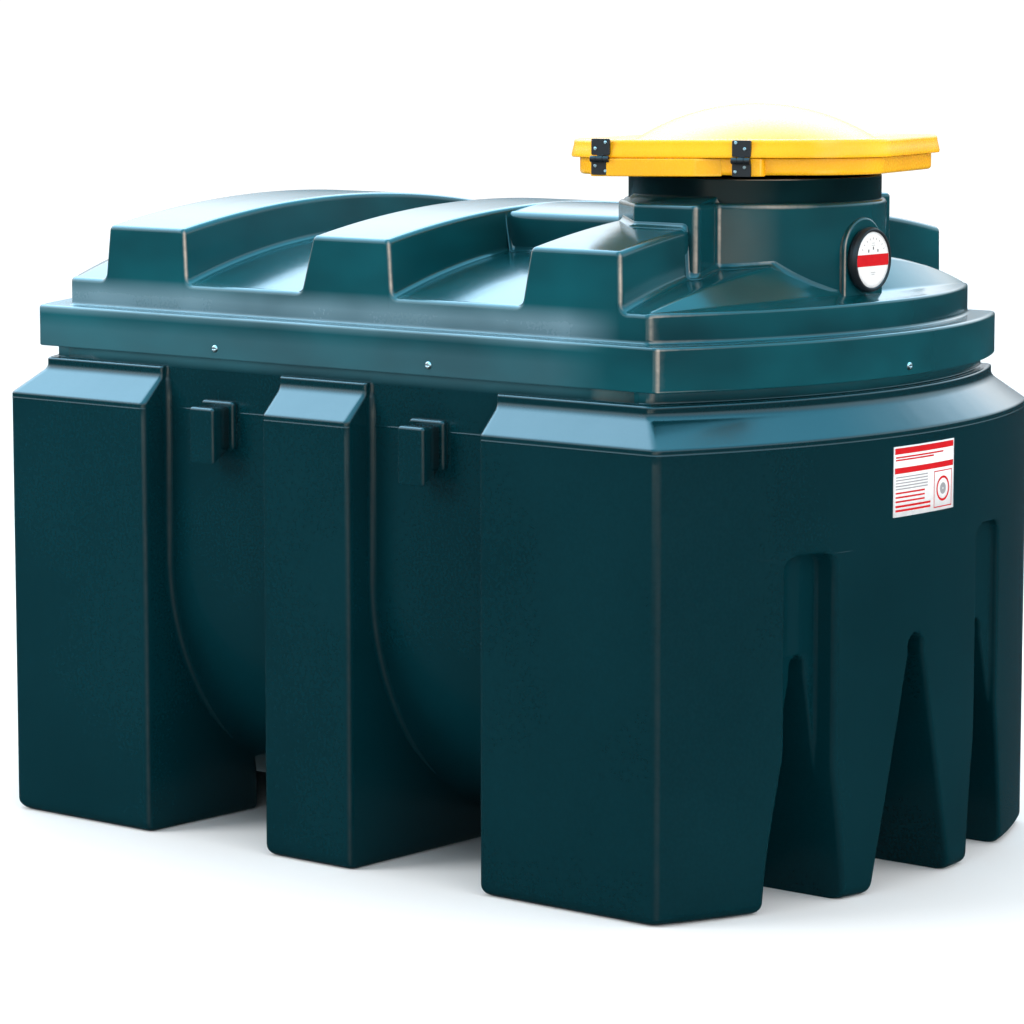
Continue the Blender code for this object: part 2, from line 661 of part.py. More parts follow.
def build_lid(hinge):
    """The yellow lid: an upright band with cut corners under a shallow dome."""
    band_top = LID_BAND_TOP - SEAM_Z
    low = cut_square(LID_HALF, LID_CORNER_CUT, LID_SEAM)
    high = cut_square(LID_HALF, LID_CORNER_CUT, band_top - LID_BROW)
    brow = cut_square(LID_HALF - LID_BROW, LID_CORNER_CUT - LID_BROW / 2, band_top)
    sphere = (DOME_RADIUS ** 2 + DOME_RISE ** 2) / (2 * DOME_RISE)
    rings = [low, high, brow]
    for share in DOME_SHARES:
        radius = DOME_RADIUS * share
        rise = math.sqrt(sphere ** 2 - radius ** 2) - (sphere - DOME_RISE)
        rings.append(dome_ring(low, radius, band_top + TRIM + rise))
    lid = loft("lid", rings, yellow, ends=False)
    shape = bmesh.new()
    shape.from_mesh(lid.data)
    top = [edge for edge in shape.edges if edge.is_boundary and edge.verts[0].co.z > band_top]
    bmesh.ops.contextual_create(shape, geom=top)
    bmesh.ops.recalc_face_normals(shape, faces=shape.faces)
    if max(shape.faces, key=lambda face: face.calc_center_median().z).normal.z < 0:
        bmesh.ops.reverse_faces(shape, faces=shape.faces)
    shape.to_mesh(lid.data)
    shape.free()
    skin = lid.modifiers.new("Thickness", "SOLIDIFY")
    skin.thickness = LID_WALL
    skin.offset = -1.0
    skin.use_even_offset = True
    lid.parent = hinge


def lower_leaf(number, centre):
    """A lower leaf with its pin and the two outer knuckles, and the solids joined to it."""
    left, right = centre - HINGE_HALF_WIDTH, centre + HINGE_HALF_WIDTH
    near = HINGE_OFFSET - GAP
    name = f"hinge_{number}_lower"
    leaf = box(name, (left, near - LEAF_THICKNESS, -LEAF_LENGTH), (right, near, LOWER_LEAF_TOP), black)
    pin = cylinder(name + "_pin", PIN_RADIUS, left + TRIM, right - TRIM, "X", steps=PIN_STEPS)
    additions = [pin]
    inner = KNUCKLE_HALF + KNUCKLE_GAP
    for word, start, end in (("left", left, centre - inner), ("right", centre + inner, right)):
        additions.append(cylinder(f"{name}_{word}_knuckle", KNUCKLE_RADIUS, start, end, "X",
                                  steps=KNUCKLE_STEPS))
        additions.append(box(f"{name}_{word}_web", (start + WEB_TRIM, LOWER_WEB_INNER_Y, LOWER_WEB_Z[0]),
                             (end - WEB_TRIM, near - WEB_TRIM, LOWER_WEB_Z[1])))
    for addition in additions:
        combine(leaf, addition, "UNION")
    return [leaf] + additions


def upper_leaf(number, centre):
    """An upper leaf with its bored middle knuckle, and the solids that shape it."""
    left, right = centre - HINGE_HALF_WIDTH, centre + HINGE_HALF_WIDTH
    near = HINGE_OFFSET - GAP
    name = f"hinge_{number}_upper"
    leaf = box(name, (left, near - LEAF_THICKNESS, UPPER_LEAF_FOOT), (right, near, LEAF_LENGTH), black)
    start, end = centre - KNUCKLE_HALF, centre + KNUCKLE_HALF
    knuckle = cylinder(name + "_knuckle", KNUCKLE_RADIUS, start, end, "X", steps=KNUCKLE_STEPS)
    web = box(name + "_web", (start + WEB_TRIM, UPPER_WEB_INNER_Y, UPPER_WEB_Z[0]),
              (end - WEB_TRIM, near - WEB_TRIM, UPPER_WEB_Z[1]))
    bore = cylinder(name + "_bore", BORE_RADIUS, left - TRIM, right + TRIM, "X", steps=KNUCKLE_STEPS)
    combine(leaf, knuckle, "UNION")
    combine(leaf, web, "UNION")
    combine(leaf, bore, "DIFFERENCE")
    return [leaf, knuckle, web, bore]


def build_hinges(fixed, moving):
    """Two black strap hinges: lower leaves with the pins, and upper leaves that turn with the lid."""
    for number, centre in enumerate(HINGE_X, start=1):
        for piece in lower_leaf(number, centre):
            piece.parent = fixed
        for piece in upper_leaf(number, centre):
            piece.parent = moving


def hinge_empty(name):
    """An empty on the lid's hinge axis, turned so that its X runs along the axis."""
    empty = bpy.data.objects.new(name, None)
    bpy.context.scene.collection.objects.link(empty)
    reach = LID_HALF + HINGE_OFFSET
    empty.location = (NECK_X + reach * math.sin(LID_TURN), -reach * math.cos(LID_TURN), SEAM_Z)
    empty.rotation_euler = (0.0, 0.0, LID_TURN)
    return empty


def shade_round_pieces():
    """Shade the turned and vaulted pieces smooth, keeping their sharp edges."""
    for piece in parts.objects:
        piece.data.shade_smooth()
        piece.data.set_sharp_from_angle(angle=math.radians(SHARP_ANGLE))


clear_scene()
parts = new_collection("bunded_storage_tank")
cutters = new_collection("cutters")
green = plastic("dark_green_plastic", (0.004, 0.045, 0.045), 0.40)
yellow = plastic("yellow_plastic", (0.95, 0.50, 0.01), 0.42)
black = plastic("black_plastic", (0.012, 0.012, 0.014), 0.45)
white = plastic("dial_white", (0.85, 0.85, 0.85), 0.40)

build_trough()
build_end("gauge_end", 1, GAUGE_CORNER_FOOT_X)
build_end("far_end", -1, -FAR_CORNER_FOOT_X)
build_middle_feet()
build_lugs()
build_rim()
build_deck()
build_ribs()
build_spine()
build_neck()
build_gauge()
tray_hinge = hinge_empty("tray_hinge_line")
lid_hinge = hinge_empty("lid_hinge_line")
build_tray(tray_hinge)
build_lid(lid_hinge)
build_hinges(tray_hinge, lid_hinge)
shade_round_pieces()
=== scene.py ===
"""Looks of the bunded storage tank: moulded skins, fittings, finishes and the studio.

Laid out as an add-on and run as a script. Metres, +X towards the gauge end, -Y towards the
front, +Z up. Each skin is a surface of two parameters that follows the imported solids.
"""
import math

import bmesh
import bpy
import numpy as np
from bpy.props import FloatProperty, FloatVectorProperty, PointerProperty
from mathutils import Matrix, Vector


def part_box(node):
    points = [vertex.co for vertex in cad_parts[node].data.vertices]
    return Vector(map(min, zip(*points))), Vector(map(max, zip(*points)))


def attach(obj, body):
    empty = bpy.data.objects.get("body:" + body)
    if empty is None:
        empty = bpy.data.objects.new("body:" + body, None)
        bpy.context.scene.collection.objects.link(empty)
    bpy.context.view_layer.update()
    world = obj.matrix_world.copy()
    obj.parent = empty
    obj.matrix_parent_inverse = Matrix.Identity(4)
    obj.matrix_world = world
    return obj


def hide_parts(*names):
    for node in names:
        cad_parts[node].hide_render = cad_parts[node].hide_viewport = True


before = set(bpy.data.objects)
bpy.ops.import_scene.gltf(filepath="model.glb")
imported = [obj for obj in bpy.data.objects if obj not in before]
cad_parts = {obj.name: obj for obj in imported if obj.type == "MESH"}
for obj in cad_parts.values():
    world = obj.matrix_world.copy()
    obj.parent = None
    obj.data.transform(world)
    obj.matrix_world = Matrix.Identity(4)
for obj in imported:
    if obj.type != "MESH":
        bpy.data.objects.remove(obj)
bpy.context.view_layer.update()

bl_info = {
    "name": "Bunded storage tank",
    "version": (1, 0, 0),
    "blender": (4, 5, 0),
    "location": "3D View > Sidebar > Tank",
    "description": "Dresses the packed bunded storage tank with moulded skins and finishes",
    "category": "Object",
}

# The bund
HALF_WIDTH = -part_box("gauge_end_front_corner")[0].y
END_BOW = 0.150
CORNER_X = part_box("gauge_end_panel")[1].x - END_BOW
BUND_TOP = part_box("front_wall")[1].z
TROUGH_RADIUS = -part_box("front_wall")[0].y
TROUGH_CENTRE_Z = 0.562
TROUGH_WALL = 0.010
TROUGH_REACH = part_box("front_wall")[1].x
PLATE_X = 0.7405
GAUGE_FOOT_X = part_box("gauge_end_front_corner")[0].x
FAR_FOOT_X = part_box("far_end_front_corner")[1].x
MIDDLE_FOOT_X = (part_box("front_middle_foot")[0].x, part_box("front_middle_foot")[1].x)
MIDDLE_FOOT_INNER_Y = 0.150
SIDE_ARCH_Y = 0.295
SIDE_ARCH_HALF = (0.101, 0.086)
MIDDLE_ARCH_HALF = 0.132
ARCH_TIP = 0.022
ARCH_TOP = 0.478
SIDE_ARCH_TOP = 0.466
ARCH_CROWN = 0.038
ARCH_EDGE = 0.010
POCKET_X = 0.742
SLOT_HALF = 0.057
SLOT_TOP = 0.655
SLOT_CORNER = 0.025
SLOT_DEPTH = 0.031
# Inset, height and rounding of each corner of the sloping shoulder
SHOULDER = ((0.0, 0.866, 0.008), (0.052, 0.9165, 0.020), (0.052, 0.9375, 0.005), (0.0675, 0.9375, 0.003))
PARTING_Z = 0.855
LUG_X = (-0.302, 0.243)

# The cover
RIM_HALF = 0.5555
RIM_CORNER_X = 0.7955
RIM_SHIFT = -0.008
RIM_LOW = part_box("rim_skirt")[0].z
RIM_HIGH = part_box("rim_skirt")[1].z
RIM_WIDTH = 0.046
RIM_WALL = 0.0095
DECK_HALF = 0.520
DECK_CORNER_X = 0.745
DECK_EDGE_Z = 1.100
DECK_RISE = 0.080
COVER_WALL = 0.004
# X where the outline's end begins to be stretched, where it ends, and where the vault ends
STRETCH_X = 0.690
OUTLINE_X = 0.739
RIDGE_X = 0.742
RIDGE_BOW = 0.037
RIB_TOP_Z = 1.210
RIB_RISE = 0.051
# X of each rib's foot and top on its far side, and of its top and foot on its gauge side
RIBS = ((-0.647, -0.633, -0.421, -0.415), (-0.109, -0.076, 0.120, 0.128), (0.445, 0.468, 0.679, 0.681))
SPINE_X = 0.104
SPINE_HALF = 0.168
SPINE_TOP = 1.2465
SPINE_CROWN = 0.014

# The neck and the gauge
NECK_X = 0.597
NECK_RADIUS = 0.2515
NECK_HOLE = 0.2465
NECK_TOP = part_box("neck")[1].z
NECK_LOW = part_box("neck")[0].z
BLOCK_PLAN = ((0.700, 0.318), (0.5525, 0.318), (0.440, 0.224))
BLOCK_ROOT_X = 0.684
COLLAR_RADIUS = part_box("neck_collar")[1].x - NECK_X
COLLAR_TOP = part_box("neck_collar")[1].z
COLLAR_WALL = 0.010
# The cone on which the neck's block rises to the collar
CONE_RADIUS = 0.2375
CONE_RISE = 0.013
GAUGE_FACE_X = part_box("gauge_boss")[1].x
GAUGE_Z = 1.176
BOSS_HALF = 0.0625
BOSS_Z = 1.193

# The lid
LID_TURN = math.radians(19.7)
LID_TILT = (0.0124, -0.0139)
LID_SIDE = 0.3105
LID_CUT = 0.092
LID_SHIFT = (0.004, 0.004)
TRAY_INSET = 0.0160
TRAY_LOW = 1.3345
TRAY_MOUTH = 0.2325
SEAM_Z = 1.3660
BAND_TOP = 1.4005
DOME_RADIUS = 0.238
DOME_FOOT = 1.3915
DOME_RISE = 0.0725
GROOVE_RADIUS = 0.243
HINGE_Y = -0.3125
HINGE_Z = 1.3665
HINGE_X = (-0.208, 0.065)
LEAF_HALF = 0.018

SKY = 11.0


class TankSizes(bpy.types.PropertyGroup):
    """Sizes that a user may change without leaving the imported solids."""
    foot_edge: FloatProperty(
        name="Foot edge", description="Rounding of the upright edges of the feet",
        default=0.012, min=0.004, max=0.02, unit="LENGTH")
    foot_fillet: FloatProperty(
        name="Foot fillet", description="Hollow rounding where a foot meets the bay wall",
        default=0.012, min=0.003, max=0.02, unit="LENGTH")
    end_corner: FloatProperty(
        name="End corner", description="Rounding between the side and the bowed end",
        default=0.020, min=0.008, max=0.03, unit="LENGTH")
    ground_edge: FloatProperty(
        name="Ground edge", description="Rounding under the feet",
        default=0.022, min=0.005, max=0.03, unit="LENGTH")
    rib_edge: FloatProperty(
        name="Rib edge", description="Rounding along the top of the ribs",
        default=0.012, min=0.004, max=0.02, unit="LENGTH")
    rib_fillet: FloatProperty(
        name="Rib fillet", description="Hollow rounding at the foot of the ribs",
        default=0.014, min=0.004, max=0.02, unit="LENGTH")
    deck_edge: FloatProperty(
        name="Deck edge", description="Rounding between the deck and its upright side",
        default=0.010, min=0.003, max=0.012, unit="LENGTH")
    rim_edge: FloatProperty(
        name="Rim edge", description="Rounding along the top of the rim",
        default=0.006, min=0.002, max=0.009, unit="LENGTH")
    lid_corner: FloatProperty(
        name="Lid corner", description="Rounding of the lid's cut corners",
        default=0.110, min=0.05, max=0.14, unit="LENGTH")


class TankColours(bpy.types.PropertyGroup):
    """Colours of the finishes, in linear light."""
    bund: FloatVectorProperty(
        name="Bund plastic", description="Moulded plastic of the tank", subtype="COLOR",
        size=4, min=0.0, max=1.0, default=(0.0006, 0.0215, 0.0285, 1.0))
    cover: FloatVectorProperty(
        name="Cover plastic", description="Slightly paler plastic of the cover", subtype="COLOR",
        size=4, min=0.0, max=1.0, default=(0.003, 0.046, 0.058, 1.0))
    haze: FloatVectorProperty(
        name="Haze", description="Weathered bloom on the cover", subtype="COLOR",
        size=4, min=0.0, max=1.0, default=(0.150, 0.255, 0.310, 1.0))
    # Paler colour painted along upright edges: partly wear and partly a painted highlight
    edge: FloatVectorProperty(
        name="Worn and highlit edge", description="Paler plastic along rubbed edges", subtype="COLOR",
        size=4, min=0.0, max=1.0, default=(0.60, 0.50, 0.42, 1.0))
    lid: FloatVectorProperty(
        name="Lid plastic", description="Yellow plastic of the lid and tray", subtype="COLOR",
        size=4, min=0.0, max=1.0, default=(1.0, 0.50, 0.008, 1.0))
    fittings: FloatVectorProperty(
        name="Black plastic", description="Hinges and the gauge's bezel", subtype="COLOR",
        size=4, min=0.0, max=1.0, default=(0.010, 0.010, 0.012, 1.0))
    signal: FloatVectorProperty(
        name="Signal red", description="Band on the dial and blocks on the label", subtype="COLOR",
        size=4, min=0.0, max=1.0, default=(0.58, 0.005, 0.010, 1.0))
    paper: FloatVectorProperty(
        name="White", description="Dial face and label ground", subtype="COLOR",
        size=4, min=0.0, max=1.0, default=(0.80, 0.80, 0.80, 1.0))


# Lines and grids

def join(*parts):
    """Coordinates whose shapes fit together, as one array of points."""
    return np.stack(np.broadcast_arrays(*parts), -1)


def unit(vectors):
    """Vectors divided by their lengths."""
    length = np.linalg.norm(vectors, axis=-1, keepdims=True)
    return vectors / np.maximum(length, 1e-12)


def right_of(ways):
    """Directions in plan turned a quarter to the right."""
    return ways[..., ::-1] * (1, -1)


def outward(outline):
    """Right-hand normals of a closed line, square to the line between each point's neighbours."""
    return right_of(unit(np.roll(outline, -1, 0) - np.roll(outline, 1, 0)))


def quarter(steps):
    """A quarter arc of radius one in even steps, as one less the cosine and one less the sine."""
    turn = np.linspace(0.0, math.pi / 2, steps + 1)
    return 1 - join(np.cos(turn), np.sin(turn))


def rounded_path(corners, closed=True, steps=6, guard=0.004):
    """Points and right-hand normals of a line with rounded corners (x, y, radius).

    The arc at a corner has its centre one radius off both sides, so it touches each side at
    radius times the tangent of half the turn; a guard point on each side keeps flats flat.
    """
    corners = np.asarray(corners, float)
    place, radius = corners[:, :2], corners[:, 2:]
    into = unit(place - np.roll(place, 1, 0))
    out = unit(np.roll(place, -1, 0) - place)
    turn = np.arctan2(into[:, 0] * out[:, 1] - into[:, 1] * out[:, 0], (into * out).sum(1))[:, None]
    side = np.sign(turn)
    start = place - into * radius * np.tan(np.abs(turn) / 2)
    right = right_of(into)
    centre = start - side * right * radius
    angle = turn * np.linspace(0.0, 1.0, steps + 1)
    normals = join(right[:, :1] * np.cos(angle) - right[:, 1:] * np.sin(angle),
                   right[:, :1] * np.sin(angle) + right[:, 1:] * np.cos(angle))
    arcs = centre[:, None] + (side * radius)[:, None] * normals
    before, after = arcs[:, :1] - into[:, None] * guard, arcs[:, -1:] + out[:, None] * guard
    points = np.concatenate([before, arcs, after], 1)
    normals = np.concatenate([normals[:, :1], normals, normals[:, -1:]], 1)
    if closed:
        return points.reshape(-1, 2), normals.reshape(-1, 2)
    points = np.concatenate([place[:1], points[1:-1].reshape(-1, 2), place[-1:]])
    ends = right_of(np.stack([out[0], into[-1]]))
    return points, np.concatenate([ends[:1], normals[1:-1].reshape(-1, 2), ends[1:]])


def rounded_box(low, high, radius, **settings):
    """Outline and normals of a rectangle between two corners, all four rounded."""
    (left, bottom), (right, top) = low, high
    corners = ((left, bottom), (right, bottom), (right, top), (left, top))
    return rounded_path([(*corner, radius) for corner in corners], **settings)


def split_long(points, longest, normals=None, closed=True):
    """The same line with every stretch over the longest length divided evenly."""
    lines = [points] if normals is None else [points, normals]
    if closed:
        lines = [np.vstack([line, line[:1]]) for line in lines]
    length = np.linalg.norm(np.diff(lines[0], axis=0), axis=1)
    pieces = np.maximum(np.ceil(length / longest), 1).astype(int)
    first = np.repeat(np.arange(len(pieces)), pieces)
    step = np.arange(pieces.sum()) - np.repeat(np.cumsum(pieces) - pieces, pieces)
    share = (step / pieces[first])[:, None]
    split = [line[first] * (1 - share) + line[first + 1] * share for line in lines]
    if not closed:
        split = [np.vstack([new, line[-1:]]) for new, line in zip(split, lines)]
    return split[0] if normals is None else (split[0], unit(split[1]))


def raised(rows):
    """Plan lines of equally many points, each given with its height, as one grid."""
    plans, heights = zip(*rows)
    plans = np.array(plans)
    return join(plans[..., 0], plans[..., 1], np.reshape(heights, (-1, 1)))


def rings(start, ways, rows):
    """A ring for each row of (distance, height): every point lies that far along its own way."""
    return [(start + ways * distance, height) for distance, height in rows]


def slab(outline, normals, levels, edge, both=False):
    """A closed outline carried between two levels, with a quarter arc at the upper edge and, if
    asked, at the lower: the arc draws the outline in by the radius less its cosine."""
    low, high = levels
    rows = (0.0, high) + quarter(4) * (edge, -edge)
    rows = np.vstack([(0.0, high - 1.4 * edge), rows, (1.12 * edge, high)])
    if both:
        rows = np.vstack([(0.0, low + high) + rows[::-1] * (1, -1), rows])
    else:
        rows = np.vstack([(0.0, low), rows])
    return raised(rings(outline, -normals, rows))


def turned(section, steps=96):
    """A section of (radius, height) turned about an upright axis at the origin."""
    turn = np.linspace(0.0, 2 * math.pi, steps + 1)[:-1, None]
    radius, height = np.asarray(section, float).T
    return join(radius * np.cos(turn), radius * np.sin(turn), height)


def facing(grid, axis, origin=(0.0, 0.0, 0.0)):
    """A grid made lying on XY, stood up so that its height runs along +X or -Y from an origin."""
    x, y, z = np.moveaxis(grid, -1, 0)
    return join(*((z, x, y) if axis == "X" else (x, -z, y))) + origin


def grid_faces(rows, columns, wrap_rows=False, wrap_columns=False):
    """The four corners of each face of a grid of points, counted row by row."""
    index = np.arange(rows * columns).reshape(rows, columns)
    if wrap_rows:
        index = np.vstack([index, index[:1]])
    if wrap_columns:
        index = np.hstack([index, index[:, :1]])
    return join(index[:-1, :-1], index[:-1, 1:], index[1:, 1:], index[1:, :-1]).reshape(-1, 4)


class Skin:
    """Points and faces of one piece, gathered from grids and the flat ends that close them."""

    def __init__(self):
        self.points = []
        self.faces = []
        self.finishes = []
        self.count = 0

    def add_grid(self, grid, wrap_rows=False, wrap_columns=False, ends=False, finish=0, keep=None):
        """A grid of points; its first and last rows may be closed with a flat face each."""
        rows, columns = grid.shape[:2]
        faces = grid_faces(rows, columns, wrap_rows, wrap_columns)
        if keep is not None:
            faces = faces[keep(grid.reshape(-1, 3)[faces].mean(1))]
        faces = (faces + self.count).tolist()
        stop = self.count + rows * columns
        if ends:
            faces += [list(range(self.count, self.count + columns)), list(range(stop - columns, stop))]
        self.faces += faces
        self.finishes += [finish] * len(faces)
        self.points.append(grid.reshape(-1, 3))
        self.count = stop
        return self

    def add_solid(self, grid):
        """A grid closed round its columns and over both ends."""
        return self.add_grid(grid, wrap_columns=True, ends=True)

    def add_loop(self, grid):
        """A grid closed both ways."""
        return self.add_grid(grid, wrap_rows=True, wrap_columns=True)


def mark_worn_and_highlit_edges(mesh):
    """Store where a pale line is painted along an upright edge: partly wear and partly a painted
    highlight where the rounding catches the light. How sharply the surface bends is the mean over
    a point's edges of the rise along the normal divided by the length squared, half of one over the
    radius. It counts in the middle of a rounding, where the normal lies between two axes, and not
    in the arches and slots of the ends."""
    full_bend = 26.0
    openings_x, openings_y, openings_z = 0.76, 0.45, 0.70
    def read(items, key, width, kind=float):
        values = np.empty(len(items) * width, kind)
        items.foreach_get(key, values)
        return values.reshape(-1, width)
    place = read(mesh.vertices, "co", 3)
    normal = read(mesh.vertex_normals, "vector", 3)
    ends = read(mesh.edges, "vertices", 2, np.int32)
    here, there = np.vstack([ends, ends[:, ::-1]]).T
    across = place[here] - place[there]
    bend = (normal[here] * across).sum(1) / np.maximum((across ** 2).sum(1), 1e-6)
    count = len(place)
    bend = np.bincount(here, bend, count) / np.maximum(np.bincount(here, minlength=count), 1)
    level = np.clip(1.0 - 1.2 * np.abs(normal[:, 2]), 0.0, 1.0)
    middle = np.abs(2 * normal[:, 0] * normal[:, 1]) / np.maximum(1.0 - normal[:, 2] ** 2, 0.01)
    x, y, z = np.abs(place).T
    openings = (x > openings_x) & (y < openings_y) & (z < openings_z)
    # Pale edge line, part wear and part painted highlight: strongest at tight upright roundings
    worn_and_highlit = np.clip(np.abs(bend) / full_bend, 0.0, 1.0) * level * middle ** 7 * ~openings
    mesh.attributes.new("worn_and_highlit", "FLOAT", "POINT").data.foreach_set("value", worn_and_highlit)


def make_piece(name, skin, stands_for, finishes=None, body="tank", open_edge=False):
    """Turn a skin into an object that rides on a body and stands for its solids. The bund's
    plastic is on it unless other finishes are given."""
    mesh = bpy.data.meshes.new(name)
    mesh.from_pydata(np.concatenate(skin.points).tolist(), [], skin.faces)
    mesh.polygons.foreach_set("material_index", np.array(skin.finishes, np.int32))
    shape = bmesh.new()
    shape.from_mesh(mesh)
    bmesh.ops.remove_doubles(shape, verts=shape.verts, dist=0.00002)
    bmesh.ops.dissolve_degenerate(shape, edges=shape.edges, dist=0.000001)
    bmesh.ops.recalc_face_normals(shape, faces=shape.faces)
    if open_edge and shape.calc_volume(signed=True) < 0:
        bmesh.ops.reverse_faces(shape, faces=shape.faces)
    shape.to_mesh(mesh)
    shape.free()
    mesh.shade_smooth()
    mark_worn_and_highlit_edges(mesh)
    for finish in finishes or [bund_finish()]:
        mesh.materials.append(finish)
    piece = bpy.data.objects.new(name, mesh)
    bpy.context.scene.collection.objects.link(piece)
    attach(piece, body)
    if stands_for:
        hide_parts(*stands_for)
    return piece


# Finishes

class Socket:
    """A value in a node tree; arithmetic on it adds Math nodes."""

    def __init__(self, nodes, output):
        self.nodes = nodes
        self.output = output

    def math(self, operation, *values, clamp=False):
        """One Math node over the given values."""
        settings = {"operation": operation, "use_clamp": clamp}
        return self.nodes.add("ShaderNodeMath", settings, dict(enumerate(values)))

    def __add__(self, other):
        return self.math("ADD", self, other)

    __radd__ = __add__

    def __sub__(self, other):
        return self.math("SUBTRACT", self, other)

    def __rsub__(self, other):
        return self.math("SUBTRACT", other, self)

    def __mul__(self, other):
        return self.math("MULTIPLY", self, other)

    __rmul__ = __mul__

    def __truediv__(self, other):
        return self.math("DIVIDE", self, other)

    def between(self, low, high):
        """0 below low, 1 above high, and even between them."""
        return self.math("ADD", (self - low) / (high - low), 0.0, clamp=True)


class Nodes:
    """The node tree of a material or a world, cleared and then built node by node."""

    def __init__(self, owner):
        owner.use_nodes = True
        self.owner = owner
        self.tree = owner.node_tree
        self.tree.nodes.clear()

    def add(self, kind, settings=None, inputs=None, output=0):
        """Any node: its settings are set first, then the values or links of its sockets."""
        made = self.tree.nodes.new(kind)
        for key, value in (settings or {}).items():
            setattr(made, key, value)
        for key, value in (inputs or {}).items():
            if isinstance(value, Socket):
                self.tree.links.new(value.output, made.inputs[key])
            else:
                made.inputs[key].default_value = value
        return Socket(self, made.outputs[output]) if len(made.outputs) else None

    def mix(self, share, first, second):
        """A colour between two others."""
        return self.add("ShaderNodeMix", {"data_type": "RGBA"}, {0: share, 6: first, 7: second}, output=2)


class Finish(Nodes):
    """A material whose every varying value reads Object coordinates or an attribute."""

    def __init__(self, name):
        super().__init__(bpy.data.materials.new(name))
        self.place = self.add("ShaderNodeTexCoord", output="Object")

    def noise(self, scale, detail=2.0, roughness=0.5, stretch=None):
        """Soft noise over the surface, from 0 to 1."""
        place = self.place
        if stretch is not None:
            place = self.add("ShaderNodeMapping", None, {"Vector": place, "Scale": stretch})
        return self.add("ShaderNodeTexNoise", None,
                        {"Vector": place, "Scale": scale, "Detail": detail, "Roughness": roughness})

    def worn_and_highlit(self):
        """How much pale edge colour is painted, partly for wear and partly as a painted highlight, stored at
        the points of the mesh.
        """
        return self.add("ShaderNodeAttribute", {"attribute_name": "worn_and_highlit"}, output="Fac")

    def bump(self, height, strength, distance, under=None):
        """A surface roughened by a height, on top of another bump if one is given."""
        inputs = {"Height": height, "Strength": strength, "Distance": distance}
        if under is not None:
            inputs["Normal"] = under
        return self.add("ShaderNodeBump", None, inputs)

    def done(self, colour, roughness, **others):
        """The Principled shader with these inputs, joined to the output."""
        inputs = {"Base Color": colour, "Roughness": roughness, **others}
        shader = self.add("ShaderNodeBsdfPrincipled", None, inputs)
        self.add("ShaderNodeOutputMaterial", None, {"Surface": shader})
        return self.owner


def shade(colour, factor=1.0):
    """A colour made lighter or darker."""
    return tuple(min(part * factor, 1.0) for part in colour[:3]) + (1.0,)


def bund_finish(name="moulded_green", factor=1.0, gloss=0.5):
    """Dark moulded plastic with faint mottling and an orange-peel skin. Above the shoulder it is
    paler and patchy, with a bloom low on the cover, and its upright edges are painted pale: partly
    wear and partly a painted highlight."""
    if name in bpy.data.materials:
        return bpy.data.materials[name]
    colours = bpy.context.scene.tank_colours
    finish = Finish(name)
    cloud = finish.noise(2.6, 3.0)
    speck = finish.noise(160.0)
    height = finish.add("ShaderNodeSeparateXYZ", None, {0: finish.place}, output=2)
    length = finish.add("ShaderNodeSeparateXYZ", None, {0: finish.place})
    upper = height.between(0.935, 0.955)
    pale = finish.mix(upper, shade(colours.bund, factor), shade(colours.cover, factor))
    deep = finish.mix(upper, shade(colours.bund, 0.78 * factor), shade(colours.cover, 0.78 * factor))
    base = finish.mix(cloud.between(0.3, 0.7), deep, pale)
    base = finish.mix(speck.between(0.35, 0.75) * 0.16, base, shade(colours.bund, 1.9 * factor))
    patch = finish.noise(4.2, 2.0, 0.45, (1.0, 1.0, 1.8)).between(0.34, 0.72)
    base = finish.mix(upper * patch * 0.55 * factor, base, (0.003, 0.095, 0.118, 1.0))
    strip = height.between(1.025, 1.05) * (1.0 - height.between(1.07, 1.105))
    rim = upper * (1.0 - height.between(1.0, 1.03))
    haze = (strip * (0.50 + 0.40 * patch) + 0.14 * rim) * (1.0 - length.between(0.55, 0.68))
    colour = finish.mix(haze, base, shade(colours.haze))
    # Noise that breaks up the pale edge line of wear and painted highlight
    wear_and_highlight_breakup = finish.noise(34.0, 4.0, 0.65).between(0.30, 0.70)
    worn_and_highlit = (finish.worn_and_highlit() * (0.45 + 0.55 * wear_and_highlight_breakup)).between(0.04, 0.85)
    # Pale edge colour, part wear and part painted highlight: faint below the shoulder, strong on the cover
    colour = finish.mix(worn_and_highlit * (0.04 + 0.86 * upper), colour, shade(colours.edge))
    roughness = 0.12 + 0.05 * cloud + 0.04 * speck + 0.16 * haze
    wave = finish.bump(finish.noise(7.0), 0.20, 0.004)
    peel = finish.bump(finish.noise(420.0), 0.06, 0.0006, wave)
    return finish.done(colour, roughness, Normal=peel, IOR=1.48, **{"Specular IOR Level": gloss})


def lid_finish(name="moulded_yellow", factor=1.0):
    """Yellow moulded plastic with faint clouds, an orange-peel skin and paler edges: partly wear and partly a
    painted highlight.
    """
    if name in bpy.data.materials:
        return bpy.data.materials[name]
    yellow = bpy.context.scene.tank_colours.lid
    finish = Finish(name)
    deep = tuple(np.array(yellow[:3]) * (0.94 * factor, 0.86 * factor, 0.8 * factor)) + (1.0,)
    base = finish.mix(finish.noise(6.0, 3.0).between(0.3, 0.7), deep, shade(yellow, factor))
    # Paler yellow along edges: part wear, part painted highlight
    colour = finish.mix(finish.worn_and_highlit().between(0.10, 1.0) * 0.35, base, (1.0, 0.72, 0.20, 1.0))
    peel = finish.bump(finish.noise(380.0), 0.10, 0.0006, finish.bump(finish.noise(9.0), 0.15, 0.003))
    return finish.done(colour, 0.23 + 0.08 * finish.noise(220.0), Normal=peel, **{
        "Specular IOR Level": 0.38, "Subsurface Weight": 0.06, "Subsurface Scale": 0.01})


